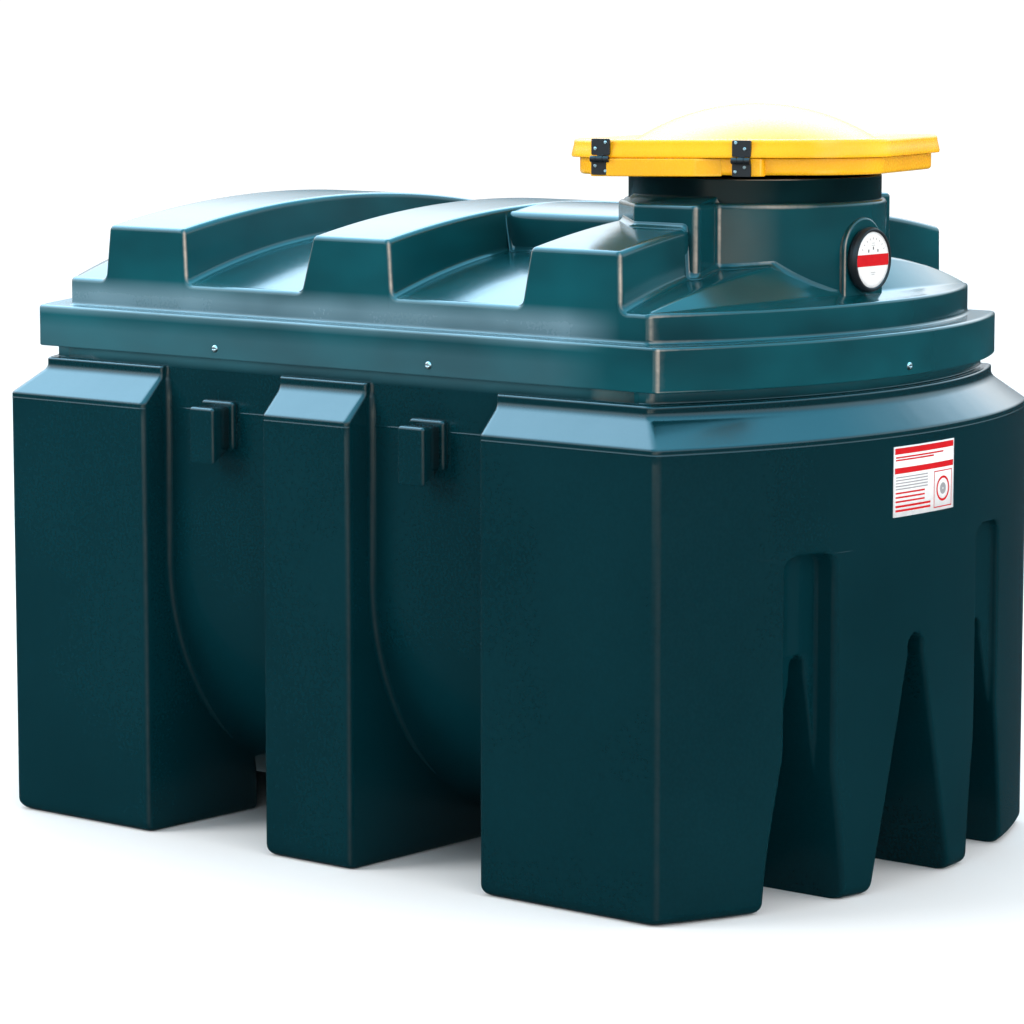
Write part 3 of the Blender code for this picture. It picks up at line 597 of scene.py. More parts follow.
def black_finish(name="moulded_black"):
    """Black moulded fittings with a fine grain, and grey along their edges: partly wear and partly a painted
    highlight.
    """
    if name in bpy.data.materials:
        return bpy.data.materials[name]
    finish = Finish(name)
    grain = finish.noise(900.0, 3.0)
    # Grey along edges: part wear, part painted highlight
    colour = finish.mix(finish.worn_and_highlit() * grain.between(0.3, 0.8),
                        shade(bpy.context.scene.tank_colours.fittings), (0.06, 0.06, 0.065, 1.0))
    return finish.done(colour, 0.38 + 0.14 * grain, Normal=finish.bump(grain, 0.15, 0.0003))


def plain_finish(name):
    """A printed or metal surface with a faint cloud in its colour and sheen."""
    if name in bpy.data.materials:
        return bpy.data.materials[name]
    colours = bpy.context.scene.tank_colours
    colour, roughness, metallic = {
        "printed_white": (colours.paper, 0.30, 0.0), "label_white": (colours.paper, 0.34, 0.0),
        "signal_red": (colours.signal, 0.16, 0.0), "print_black": ((0.012, 0.012, 0.014), 0.40, 0.0),
        "label_grey": ((0.30, 0.30, 0.31), 0.40, 0.0), "screw_metal": ((0.62, 0.62, 0.60), 0.26, 1.0)}[name]
    finish = Finish(name)
    cloud = finish.noise(60.0, 3.0)
    mixed = finish.mix(cloud.between(0.3, 0.7), shade(colour, 0.9), shade(colour))
    return finish.done(mixed, roughness + 0.12 * cloud, Metallic=metallic,
                       Normal=finish.bump(cloud, 0.05, 0.0003))


# Forms of the bund

def bow_radius(half_width):
    """Radius in plan of the arc that bows out an end of this half width."""
    return (half_width ** 2 + END_BOW ** 2) / (2 * END_BOW)


def bow(half_width, across):
    """How far a bowed end stands out past its corners: the sagitta of its arc in plan."""
    radius = bow_radius(half_width)
    return np.sqrt(radius ** 2 - across ** 2) - (radius - END_BOW)


def end_turn(half_width, radius):
    """The turn from a straight side to its bowed end, and how far before the corner a rounding
    there begins: the radius times the tangent of half the turn."""
    turn = math.acos(half_width / bow_radius(half_width))
    return turn, radius * math.tan(turn / 2)


def corner_arc(start_x, half, radius, turn):
    """The rounding from a straight side at -half on to the bowed end, from where it begins."""
    angle = np.linspace(0.0, turn, 8)
    return join(start_x + radius * np.sin(angle), radius * (1 - np.cos(angle)) - half)


def end_face(across, inset):
    """X of the bowed face at a distance across the tank, for a wall drawn in by an inset."""
    return CORNER_X - inset + bow(HALF_WIDTH - inset, across)


def rounding(z, low, radius):
    """Depth left below a rounded upper edge: radius at its low end, none one radius above."""
    rise = np.clip(low + radius - z, 0.0, radius)
    return np.where(z < low, 1.0, radius - np.sqrt(radius ** 2 - rise ** 2))


class Levels:
    """The heights of a foot or end moulding, with what each level needs, as equal columns."""

    def __init__(self, inner_y, ground):
        low = ground * quarter(5)
        arch = np.concatenate([[-ARCH_CROWN], ARCH_TIP * (np.sin(np.radians([0, 25, 50, 65, 75])) - 1),
                               [-1e-5, 0, 0.0007, 0.0018, 0.0032, 0.005, 0.0075, 0.010]])
        corner = SLOT_TOP - SLOT_CORNER * (1 - np.sin(np.radians([0, 22.5, 45, 67.5])))
        roof = SLOT_TOP + np.array([-1e-5, 0, 0.0007, 0.0018, 0.0040, 0.0068, 0.010])
        seam = PARTING_Z + 0.001 * np.array([-3.4, -1.4, -0.5, 0, 0.5, 1.4, 3.4])
        between = [0.034, 0.055, 0.08, *np.arange(0.11, 0.42, 0.026), 0.295, 0.505, 0.535, 0.562, 0.595,
                   0.69, 0.73, 0.77, 0.81, 0.838]
        face = [low[:, 0], between, ARCH_TOP + arch, SIDE_ARCH_TOP + arch, corner, roof, seam]
        face = np.unique(np.round(np.concatenate(face), 6))
        ridge = 0.0007 * np.exp(-((face - PARTING_Z) / 0.0012) ** 2)
        slope, _ = rounded_path([(0.0, 0.86, 0.0), *SHOULDER, (SHOULDER[-1][0], BUND_TOP, 0.0)],
                                closed=False, guard=0.003)
        self.z = np.concatenate([face, slope[1:, 1]])[:, None]
        drawn = np.zeros_like(self.z)
        drawn[:len(low), 0] = low[:, 1]
        self.inset = drawn + np.concatenate([-ridge, slope[1:, 0]])[:, None]
        self.pull = 0.45 * drawn
        drop = np.clip(TROUGH_CENTRE_Z - self.z, 0.0, TROUGH_RADIUS)
        wall = np.sqrt(TROUGH_RADIUS ** 2 - drop ** 2)
        self.root = np.maximum(wall - 0.001, inner_y)
        self.surface = np.maximum(wall + 0.0001, inner_y)
        self.fade = np.clip((self.z - 0.12) / 0.10, 0.0, 1.0)


def foot_side(levels, foot_x):
    """Plan points from inside the bay wall to the outer face of a foot, one row a level: a
    hollow quarter arc off the wall, the flat side, and a quarter arc on to the outer face."""
    sizes = bpy.context.scene.tank_sizes
    half, surface = HALF_WIDTH - levels.inset, levels.surface
    depth = np.maximum(half - surface, 0.0002)
    hollow = np.minimum(sizes.foot_fillet * levels.fade, 0.42 * depth)
    edge = np.minimum(sizes.foot_edge, 0.42 * depth)
    guard = np.minimum(0.004, 0.05 * depth)
    x = foot_x + levels.pull
    fall, gap = quarter(6).T
    return np.concatenate([join(x - hollow - 0.003 * levels.fade, -levels.root),
                           join(x - hollow * gap, -surface - hollow * fall),
                           join(x, np.hstack([-surface - hollow - guard, edge + guard - half])),
                           join(x + edge * fall, edge * gap - half), join(x + edge + 0.004, -half)], 1)


def notch_half(levels, centre, side, wide, narrow, slot_x, face_limit, slot_limit):
    """Half of an opening in an end, from the face to its middle, one row a level: a rounded
    edge, the slot's wall and back, and the arch's wall behind it. Each depth is held back by
    a limit that fades to nothing above the opening."""
    hollow, lip = 0.008, 0.006
    fall, gap = quarter(4).T
    share = np.array([0.0, 0.3, 1.0])
    room = np.maximum(wide - narrow, 0.0) / 2
    away = np.hstack([wide + ARCH_EDGE * gap, wide - np.minimum(hollow, room) * share,
                      narrow + np.minimum(lip, room) * share[::-1], narrow - [[0.0005, 0.002]], 0 * wide])
    y = centre + side * away
    face = end_face(y, levels.inset)
    edge = face[:, :5] - np.minimum(ARCH_EDGE * fall, face_limit)
    deep = np.concatenate([slot_x + hollow * share[::-1], slot_x - lip * share,
                           [POCKET_X + 0.012, POCKET_X, POCKET_X]])
    deep = np.repeat(deep[None], len(wide), 0)
    deep[:, 3:] = np.maximum(deep[:, 3:], slot_x - slot_limit)
    deep = np.maximum(deep, face[:, 5:] - face_limit)
    deep = np.minimum(deep, face[:, 5:] - np.minimum(ARCH_EDGE, face_limit))
    return join(np.hstack([edge, deep]), y)


def face_run(levels, start, stop, shares):
    """Points on the bowed face between two distances across the tank."""
    y = start + (stop - start) * np.asarray(shares)
    return join(end_face(y, levels.inset), y)


def arch_half(z, top, foot, power):
    """Half the width of an arch: from its width at the foot it narrows by a power of the height,
    then follows a small circle at the crown."""
    rise = np.clip(z - (top - ARCH_TIP), 0.0, 1.0)
    tip = np.sqrt(np.clip(ARCH_TIP ** 2 - rise ** 2, 0.0057 ** 2, None))
    slope = np.clip((z + 0.010) / (top - ARCH_CROWN + 0.010), 0.0, 1.0) ** power
    return np.where(z > top - ARCH_CROWN, tip, foot + (ARCH_TIP - foot) * slope)


def end_rings(foot_x):
    """The closed plan line of a whole end at every level, from the front foot round to the back."""
    sizes = bpy.context.scene.tank_sizes
    levels = Levels(SIDE_ARCH_Y, sizes.ground_edge)
    z = levels.z
    outer_arch, inner_arch = (arch_half(z, SIDE_ARCH_TOP, foot, 1.5) for foot in SIDE_ARCH_HALF)
    middle_arch = arch_half(z, ARCH_TOP, MIDDLE_ARCH_HALF, 1.0)
    bend = np.clip((z - (SLOT_TOP - SLOT_CORNER)) / SLOT_CORNER, 0.0, 1.0)
    slot = SLOT_HALF - SLOT_CORNER * (1 - np.sqrt(1 - bend ** 2))
    outer_slot, inner_slot = np.maximum(slot, outer_arch), np.maximum(slot, inner_arch)
    side_x, middle_x = (float(end_face(y, 0.0)) - SLOT_DEPTH for y in (SIDE_ARCH_Y, 0.0))
    side = (side_x, rounding(z, SLOT_TOP, ARCH_EDGE), rounding(z, SIDE_ARCH_TOP, 0.005))
    opening = notch_half(levels, -SIDE_ARCH_Y, -1, outer_slot, outer_arch, *side)
    closing = notch_half(levels, -SIDE_ARCH_Y, 1, inner_slot, inner_arch, *side)[:, ::-1]
    centre = notch_half(levels, 0.0, -1, middle_arch, middle_arch, middle_x,
                        rounding(z, ARCH_TOP, ARCH_EDGE), 1.0)
    half = HALF_WIDTH - levels.inset
    turn, reach = end_turn(HALF_WIDTH, sizes.end_corner)
    corner_x = CORNER_X - levels.inset - reach
    corner = corner_arc(corner_x, half, sizes.end_corner, turn)
    outer, inner = -0.425, -0.163
    front = [join(PLATE_X, -levels.root), foot_side(levels, foot_x), join(corner_x - 0.004, -half), corner,
             face_run(levels, corner[:, -1:, 1] + 0.004, outer, [0.0, 0.25, 0.5, 0.75, 1.0]),
             face_run(levels, outer, -SIDE_ARCH_Y - outer_slot - ARCH_EDGE, [0.35, 0.7, 0.97]),
             opening, closing[:, 1:],
             face_run(levels, -SIDE_ARCH_Y + inner_slot + ARCH_EDGE, inner, [0.05, 0.5]),
             face_run(levels, inner, -middle_arch - ARCH_EDGE, [0.0, 0.5, 0.95]), centre]
    front = np.concatenate(front, 1)
    return raised(zip(np.concatenate([front, front[:, -2::-1] * (1, -1)], 1), z))


class TANK_OT_trough(bpy.types.Operator):
    """Skin of the bay walls and the half-round belly between the feet"""
    bl_idname = "tank.trough"
    bl_label = "Trough"

    def execute(self, context):
        """A U in section, upright walls on a half circle, carried straight along X."""
        seam = PARTING_Z + 0.001 * np.array([4.0, 2.0, 0.8, 0.0, -0.8, -2.0, -4.0])
        upright = np.concatenate([[BUND_TOP, 0.98, 0.93, 0.89], seam, [0.83, 0.78, 0.70, 0.62]])
        ridge = 0.0008 * np.exp(-((upright - PARTING_Z) / 0.0010) ** 2)
        angle = np.radians(np.arange(180.0, 360.1, 2.5))
        def section(radius, bump):
            arc = join(radius * np.cos(angle), TROUGH_CENTRE_Z + radius * np.sin(angle))
            wall = join(-radius - bump * ridge, upright)
            return np.concatenate([wall, arc, (wall * (-1, 1))[::-1]])
        ring = np.concatenate([section(TROUGH_RADIUS, 1), section(TROUGH_RADIUS - TROUGH_WALL, 0)[::-1]])
        stations = np.linspace(-TROUGH_REACH, TROUGH_REACH, 13)[:, None]
        make_piece("trough_skin", Skin().add_solid(join(stations, *ring.T)),
                   ["front_wall", "back_wall", "belly_floor"])
        return {"FINISHED"}


class TANK_OT_ends(bpy.types.Operator):
    """Mouldings of the two bowed ends with their feet, arches, slots and sloping shoulder"""
    bl_idname = "tank.ends"
    bl_label = "End mouldings"

    def execute(self, context):
        """A plan line at each level, lofted upwards; the far end is the same turned to -X."""
        parts = ("front_corner", "back_corner", "panel", "front_leg", "back_leg")
        for end, side, foot_x in (("gauge_end", 1, GAUGE_FOOT_X), ("far_end", -1, -FAR_FOOT_X)):
            make_piece(f"{end}_skin", Skin().add_solid(end_rings(foot_x) * (side, 1, 1)),
                       [f"{end}_{part}" for part in parts])
        return {"FINISHED"}


class TANK_OT_middle_feet(bpy.types.Operator):
    """Feet under the middle of each side"""
    bl_idname = "tank.middle_feet"
    bl_label = "Middle feet"

    def execute(self, context):
        """The corner feet's side line, mirrored about the foot's middle and lofted upwards."""
        levels = Levels(MIDDLE_FOOT_INNER_Y, context.scene.tank_sizes.ground_edge)
        near = foot_side(levels, MIDDLE_FOOT_X[0])
        far = (near * (-1, 1) + (sum(MIDDLE_FOOT_X), 0))[:, ::-1]
        grid = raised(zip(np.concatenate([near, far], 1), levels.z))
        for word, side in (("front", 1), ("back", -1)):
            make_piece(f"{word}_middle_foot_skin", Skin().add_solid(grid * (1, side, 1)),
                       [f"{word}_middle_foot"])
        return {"FINISHED"}


class TANK_OT_lugs(bpy.types.Operator):
    """Lifting lugs on the bay walls"""
    bl_idname = "tank.lugs"
    bl_label = "Lifting lugs"

    def execute(self, context):
        """A rounded plate on the wall and a rounded block on it, whose lower side drops outwards."""
        plate = slab(*rounded_box((-0.044, 0.782), (0.044, 0.878), 0.008), (0.540, 0.555), 0.006)
        low, high = 0.757, 0.868
        block = slab(*rounded_box((-0.033, low), (0.033, high), 0.007), (0.545, 0.600), 0.006)
        drop = 0.69 + 0.345 * np.clip((block[..., 2] - 0.555) / 0.045, 0.0, 1.0)
        block[..., 1] = high - (high - block[..., 1]) * drop
        for word, side in (("front", 1), ("back", -1)):
            for place, x in zip(("far", "gauge"), LUG_X):
                skin = Skin()
                for grid in (plate, block):
                    skin.add_solid(facing(grid, "-Y", (x, 0, 0)) * (1, side, 1))
                make_piece(f"{word}_{place}_lug_skin", skin, [f"{word}_{place}_lug"])
        return {"FINISHED"}


# Forms of the cover

def plan_ring(offset):
    """The rim's plan moved outwards: straight sides and arcs at the ends, joined by rounded corners."""
    half, corner_x, radius = RIM_HALF + offset, RIM_CORNER_X + offset, max(0.016 + offset, 0.003)
    turn, reach = end_turn(half, radius)
    sweep = bow_radius(half)
    span = math.pi / 2 - turn - reach / sweep
    angle = np.linspace(-span, span, 49)[1:-1]
    arc = join(corner_x + END_BOW - sweep + sweep * np.cos(angle), sweep * np.sin(angle))
    side = join(np.linspace(reach - corner_x, corner_x - reach, 41)[1:-1], -half)
    corner = corner_arc(corner_x - reach, half, radius, turn)
    near = np.concatenate([side, corner, arc, (corner * (1, -1))[::-1]])
    return np.concatenate([near, -near]) + (RIM_SHIFT, 0)


def cover_outline(longest):
    """The cover seen from the front: the deck's line with the three ribs on it, as x and share of
    the ribs' height, with the x that each point has at the rim and the outline's normal."""
    sizes = bpy.context.scene.tank_sizes
    height = RIB_TOP_Z - DECK_EDGE_Z
    corners = [(-OUTLINE_X, 0.0, 0.0)]
    for low_left, top_left, top_right, low_right in RIBS:
        corners += [(low_left, 0.0, sizes.rib_fillet), (top_left, height, sizes.rib_edge),
                    (top_right, height, sizes.rib_edge), (low_right, 0.0, sizes.rib_fillet)]
    points, normals = rounded_path([*corners, (OUTLINE_X, 0.0, 0.0)], closed=False)
    points, normals = split_long(points, longest, normals, closed=False)
    run = np.concatenate([[0.0], np.cumsum(np.linalg.norm(np.diff(points, axis=0), axis=1))])
    x = points[:, 0]
    base = x.copy()
    for low_left, _, _, low_right in RIBS:
        first, last = np.searchsorted(x, (low_left - 0.008, low_right + 0.008))
        share = (run[first:last] - run[first]) / (run[last - 1] - run[first])
        base[first:last] = x[first] + share * (x[last - 1] - x[first])
    return x, points[:, 1] / height, base, -normals


def stretched(x, ridge):
    """X along the outline, its ends stretched evenly so that they stop at the ridge."""
    past = np.sign(x) * np.maximum(np.abs(x) - STRETCH_X, 0.0)
    return x + past * ((ridge - STRETCH_X) / (OUTLINE_X - STRETCH_X) - 1)


def crown(across):
    """One over the tank's middle line, falling as a parabola to nothing at the deck's edge."""
    return 1 - np.clip(np.abs(across) / DECK_HALF, 0.0, 1.0) ** 2


def vault_and_rib(across):
    """Heights of the deck's vault and of the ribs' crowned tops at a distance across the tank."""
    return DECK_EDGE_Z + DECK_RISE * crown(across), RIB_TOP_Z + RIB_RISE * crown(across)


def deck_edge_x(across):
    """X of the deck's bowed end, with its corner rounded into the straight side."""
    radius = 0.018
    turn, reach = end_turn(DECK_HALF, radius)
    low = np.clip(DECK_HALF - np.abs(across), 0.0, radius)
    corner = DECK_CORNER_X - reach + np.sqrt(radius ** 2 - (radius - low) ** 2)
    bowed = DECK_CORNER_X + bow(DECK_HALF, np.clip(np.abs(across), 0.0, DECK_HALF))
    return np.where(low < radius * (1 - math.cos(turn)), corner, bowed)


def hip_line():
    """The end's fall from the vault to the bowed edge, as share of the way out and of the rise."""
    hip, _ = rounded_path([(0.0, 1.0, 0.0), (0.62, 0.15, 0.20), (1.0, 0.0, 0.0)], closed=False, steps=5,
                          guard=0.03)
    return split_long(hip, 0.12, closed=False)[1:]


def ridge_line(across):
    """X at which the vault ends and the hipped end begins."""
    return np.minimum(RIDGE_X + RIDGE_BOW * crown(across), deck_edge_x(across) - 0.006)


def cover_height(x, across):
    """Height of the cover at a place: the vault, raised towards the ribs' crowned tops and
    falling along the hip past the ridge."""
    line, share, _, _ = cover_outline(0.02)
    vault, rib = vault_and_rib(across)
    ridge = ridge_line(across)
    out, fall = np.vstack([(0.0, 1.0), hip_line()]).T
    fallen = np.interp((np.abs(x) - ridge) / (deck_edge_x(across) - 0.012 - ridge), out, fall)
    return DECK_EDGE_Z + fallen * (vault - DECK_EDGE_Z) + np.interp(x, line, share) * (rib - vault)


def base_fillet(outline, radius=0.011):
    """A hollow quarter arc round the foot of an upright wall: going out from the outline by the
    radius less its cosine, it falls from one radius above the cover down to the cover."""
    out, lift = (quarter(5) * radius - (0.0003, 0.0004)).T[:, :, None]
    x, y = np.moveaxis(outline + outward(outline) * out[..., None], -1, 0)
    return join(x, y, cover_height(x, y) + lift)


def neck_outline():
    """Two arcs of the circle, joined by the rounded corners of the block on each side."""
    near, far = (math.acos((x - NECK_X) / NECK_RADIUS) for x in (BLOCK_ROOT_X, BLOCK_PLAN[2][0]))
    step = math.radians(6.0)
    def on_circle(angle):
        return join(NECK_X + NECK_RADIUS * np.cos(angle), NECK_RADIUS * np.sin(angle))
    corners = [(*on_circle(near - step), 0.0), (*on_circle(near), 0.010), (*BLOCK_PLAN[0], 0.012),
               (*BLOCK_PLAN[1], 0.020), (*BLOCK_PLAN[2], 0.014), (*on_circle(far), 0.008),
               (*on_circle(far + step), 0.0)]
    around = split_long(rounded_path(corners, closed=False, guard=0.003)[0], 0.02, closed=False)
    gauge_arc = on_circle(np.linspace(step - near, near - step, 58)[1:-1])
    spine_arc = on_circle(np.linspace(far + step, 2 * math.pi - far - step, 50)[1:-1])
    return np.concatenate([gauge_arc, around, spine_arc, (around * (1, -1))[::-1]])


class TANK_OT_cover(bpy.types.Operator):
    """Vaulted deck with its cross ribs, hipped ends and upright sides"""
    bl_idname = "tank.cover"
    bl_label = "Cover"

    def execute(self, context):
        """Height is the vault plus a share of the ribs' height along X; the ends run out to the
        bowed edge on a falling curve; a quarter arc turns the edge down to the rim."""
        deck_edge = context.scene.tank_sizes.deck_edge
        close = 0.0006 * np.array([0, 4, 12, 28])
        across = np.concatenate([close - 1, np.linspace(-0.95, 0.95, 96), 1 - close[::-1]])
        y, inner_y = across * DECK_HALF, across * (DECK_HALF - deck_edge)
        edge_x, ridge = deck_edge_x(y), ridge_line(y)
        slope = np.gradient(edge_x, y)
        slope[[0, -1]] = (1e3, -1e3)
        side = unit(join(1.0, -slope))
        soft = deck_edge - 0.004 * side[:, 0] ** 2
        outline = cover_outline(0.014)
        x, share = outline[0][:, None], outline[1][:, None]
        vault, rib = vault_and_rib(y)
        grid = join(stretched(x, ridge), inner_y, vault + share * (rib - vault))
        out, fall = hip_line().T[:, :, None]
        edge = join(edge_x, y) - soft[:, None] * side
        end = join(ridge + (edge[:, 0] - ridge) * out, inner_y + (edge[:, 1] - inner_y) * out,
                   DECK_EDGE_Z + fall * (vault - DECK_EDGE_Z))
        top = np.concatenate([(end * (-1, 1, 1))[::-1], grid, end])
        away = top[..., :2] - (NECK_X, 0.0)
        reach = np.hypot(away[..., :1], away[..., 1:])
        at_neck = (reach < NECK_HOLE) & (reach > NECK_HOLE - 0.014)
        top[..., :2] = np.where(at_neck, (NECK_X, 0.0) + NECK_HOLE * unit(away), top[..., :2])
        def clear_of_neck(centre):
            return np.hypot(centre[:, 0] - NECK_X, centre[:, 1]) > NECK_HOLE - 0.0025
        skin = Skin().add_grid(top, keep=clear_of_neck)
        skin.add_grid(self.edge_ring(outline, (edge_x, y, side, soft), deck_edge), wrap_columns=True)
        start, stop = 0.126, 0.42
        spine = np.array([(start, -SPINE_HALF), (stop, -SPINE_HALF), (stop, SPINE_HALF), (start, SPINE_HALF)])
        for foot in (split_long(spine, 0.008), split_long(neck_outline(), 0.006)):
            skin.add_grid(base_fillet(foot), wrap_columns=True)
        nodes = ["deck", "cross_rib_far", "cross_rib_middle", "front_cross_rib_gauge", "back_cross_rib_gauge"]
        wall = make_piece("cover_skin", skin, nodes, open_edge=True).modifiers.new("Wall", "SOLIDIFY")
        wall.thickness = COVER_WALL
        wall.offset = -1.0
        return {"FINISHED"}

    def edge_ring(self, outline, end_line, deck_edge):
        """Rows from the deck's edge down to the rim: at each point of the edge line a quarter arc
        from the inward to the downward side, the upright wall, and a hollow arc on to the rim."""
        x, share, base, normal = outline
        edge_x, y, side, soft = end_line
        ridge = ridge_line(DECK_HALF)
        tail = ridge + (edge_x[0] - ridge) * hip_line()[:, 0]
        hips = len(tail)
        front_x = stretched(x, ridge)
        front_base = np.where(np.abs(x) > STRETCH_X, front_x, base)
        line_x, line_base = (np.concatenate([-tail[::-1], row, tail]) for row in (front_x, front_base))
        line_z = DECK_EDGE_Z + np.pad(share * (RIB_TOP_Z - DECK_EDGE_Z), hips)
        up_x, up_z = np.pad(normal[:, 0], hips), np.pad(normal[:, 1], hips, constant_values=1.0)
        front = (join(line_x, -DECK_HALF, line_z), join(up_x, 0.0, up_z), join(0 * line_x, -1.0, 0.0),
                 join(line_base, -DECK_HALF, RIM_HIGH))
        end = (join(edge_x, y, DECK_EDGE_Z), join(0 * y, 0.0, 1.0), join(*side.T, 0.0),
               join(edge_x, y, RIM_HIGH))
        def around(along_front, along_end):
            back, along_end = along_front[::-1] * (1, -1, 1), along_end[1:-1]
            return np.concatenate([along_front, along_end, back, (along_end * (-1, 1, 1))[::-1]])
        edge, up, out, foot = map(around, front, end)
        radius = np.tile(np.concatenate([np.full(len(line_x), deck_edge), soft[1:-1]]), 2)[:, None]
        hollow = 0.006
        rows = [edge - radius * (gap * out + fall * up) for fall, gap in quarter(6)]
        rows += [edge - (radius + 0.0012) * up, foot + (0, 0, hollow + 0.003)]
        rows += [foot + hollow * fall * out + (0, 0, hollow * gap) for fall, gap in quarter(4)]
        rows += [foot + (hollow + 0.002) * out - (0, 0, 0.0008)]
        return np.stack(rows)


class TANK_OT_spine(bpy.types.Operator):
    """Raised block along the middle, from the middle rib to the neck"""
    bl_idname = "tank.spine"
    bl_label = "Spine"

    def execute(self, context):
        """A crowned section across the tank, carried along X up to the neck's round wall."""
        low, edge = 1.14, 0.012
        section, _ = rounded_path([(SPINE_HALF, low, 0.002), (SPINE_HALF, SPINE_TOP, edge),
                                   (-SPINE_HALF, SPINE_TOP, edge), (-SPINE_HALF, low, 0.002)])
        y, z = split_long(section, 0.02).T
        z = z + SPINE_CROWN * (1 - (y / SPINE_HALF) ** 2) * (z > 1.2)
        z = np.where(z < 1.16, vault_and_rib(y)[0] - 0.006, z)
        run = NECK_X - np.sqrt(NECK_HOLE ** 2 - y ** 2) - SPINE_X
        share = np.linspace(0.0, 1.0, 25)[:, None]
        make_piece("spine_skin", Skin().add_solid(join(SPINE_X + run * share, y, z)), ["spine_block"])
        return {"FINISHED"}


class TANK_OT_rim(bpy.types.Operator):
    """Rim of the cover that laps over the bund's top edge"""
    bl_idname = "tank.rim"
    bl_label = "Rim"

    def execute(self, context):
        """An angle section with rounded edges, carried round the plan: each point of the section
        draws the whole plan in by its own distance."""
        under = RIM_HIGH - RIM_WALL
        section, _ = rounded_path([(0.0, RIM_LOW, 0.003), (0.0, RIM_HIGH, context.scene.tank_sizes.rim_edge),
                                   (-RIM_WIDTH, RIM_HIGH, 0.001), (-RIM_WIDTH, under, 0.001),
                                   (-RIM_WALL, under, 0.002), (-RIM_WALL, RIM_LOW, 0.002)], guard=0.0015)
        grid = raised([(plan_ring(offset), height) for offset, height in section])
        make_piece("rim_skin", Skin().add_loop(grid), ["rim_skirt"])
        return {"FINISHED"}


class TANK_OT_neck(bpy.types.Operator):
    """Filling neck with its block, and the collar under the lid"""
    bl_idname = "tank.neck"
    bl_label = "Neck"

    def execute(self, context):
        """An upright wall along the plan of block and circle, closed over the top to the round
        mouth: between the two, points run straight from the outline to the circle. The collar is
        a section of radius and height turned about the neck's upright axis."""
        plan, centre, edge = neck_outline(), np.array([NECK_X, 0.0]), 0.008
        ways, normals = unit(plan - centre), outward(plan)
        rows = rings(plan, -normals, [
            (0.0, NECK_LOW), (0.0, 1.15), (0.0, NECK_TOP - edge - 0.003),
            *((0.0, NECK_TOP) + quarter(5) * (edge, -edge))])
        inner = plan - normals * (edge + 0.002)
        cone = centre + ways * CONE_RADIUS - inner
        rows += [(inner + cone * share, NECK_TOP + CONE_RISE * share ** 1.5)
                 for share in np.linspace(0.0, 1.0, 5)]
        mouth, bore = 0.232, 0.2415
        rows += rings(centre, ways, [
            (mouth + 0.001, NECK_TOP), (mouth, NECK_TOP - 0.001), (mouth, NECK_TOP - 0.009),
            (mouth + 0.001, NECK_TOP - 0.010), (bore, NECK_TOP - 0.0105), (bore, 1.2), (bore, NECK_LOW)])
        make_piece("neck_skin", Skin().add_loop(raised(rows)), ["neck"])
        low, inside = NECK_TOP - 0.001, COLLAR_RADIUS - COLLAR_WALL
        section, _ = rounded_path([(COLLAR_RADIUS, low, 0.0), (COLLAR_RADIUS, COLLAR_TOP, 0.002),
                                   (inside, COLLAR_TOP, 0.002), (inside, low, 0.0)], steps=4, guard=0.001)
        # The collar wears a darker, duller copy of the bund's plastic: painted shade for the lid's overhang
        make_piece("collar_skin", Skin().add_loop(turned(section) + (NECK_X, 0, 0)), ["neck_collar"],
                   [bund_finish("dark_collar", 0.25, 0.20)])
        return {"FINISHED"}


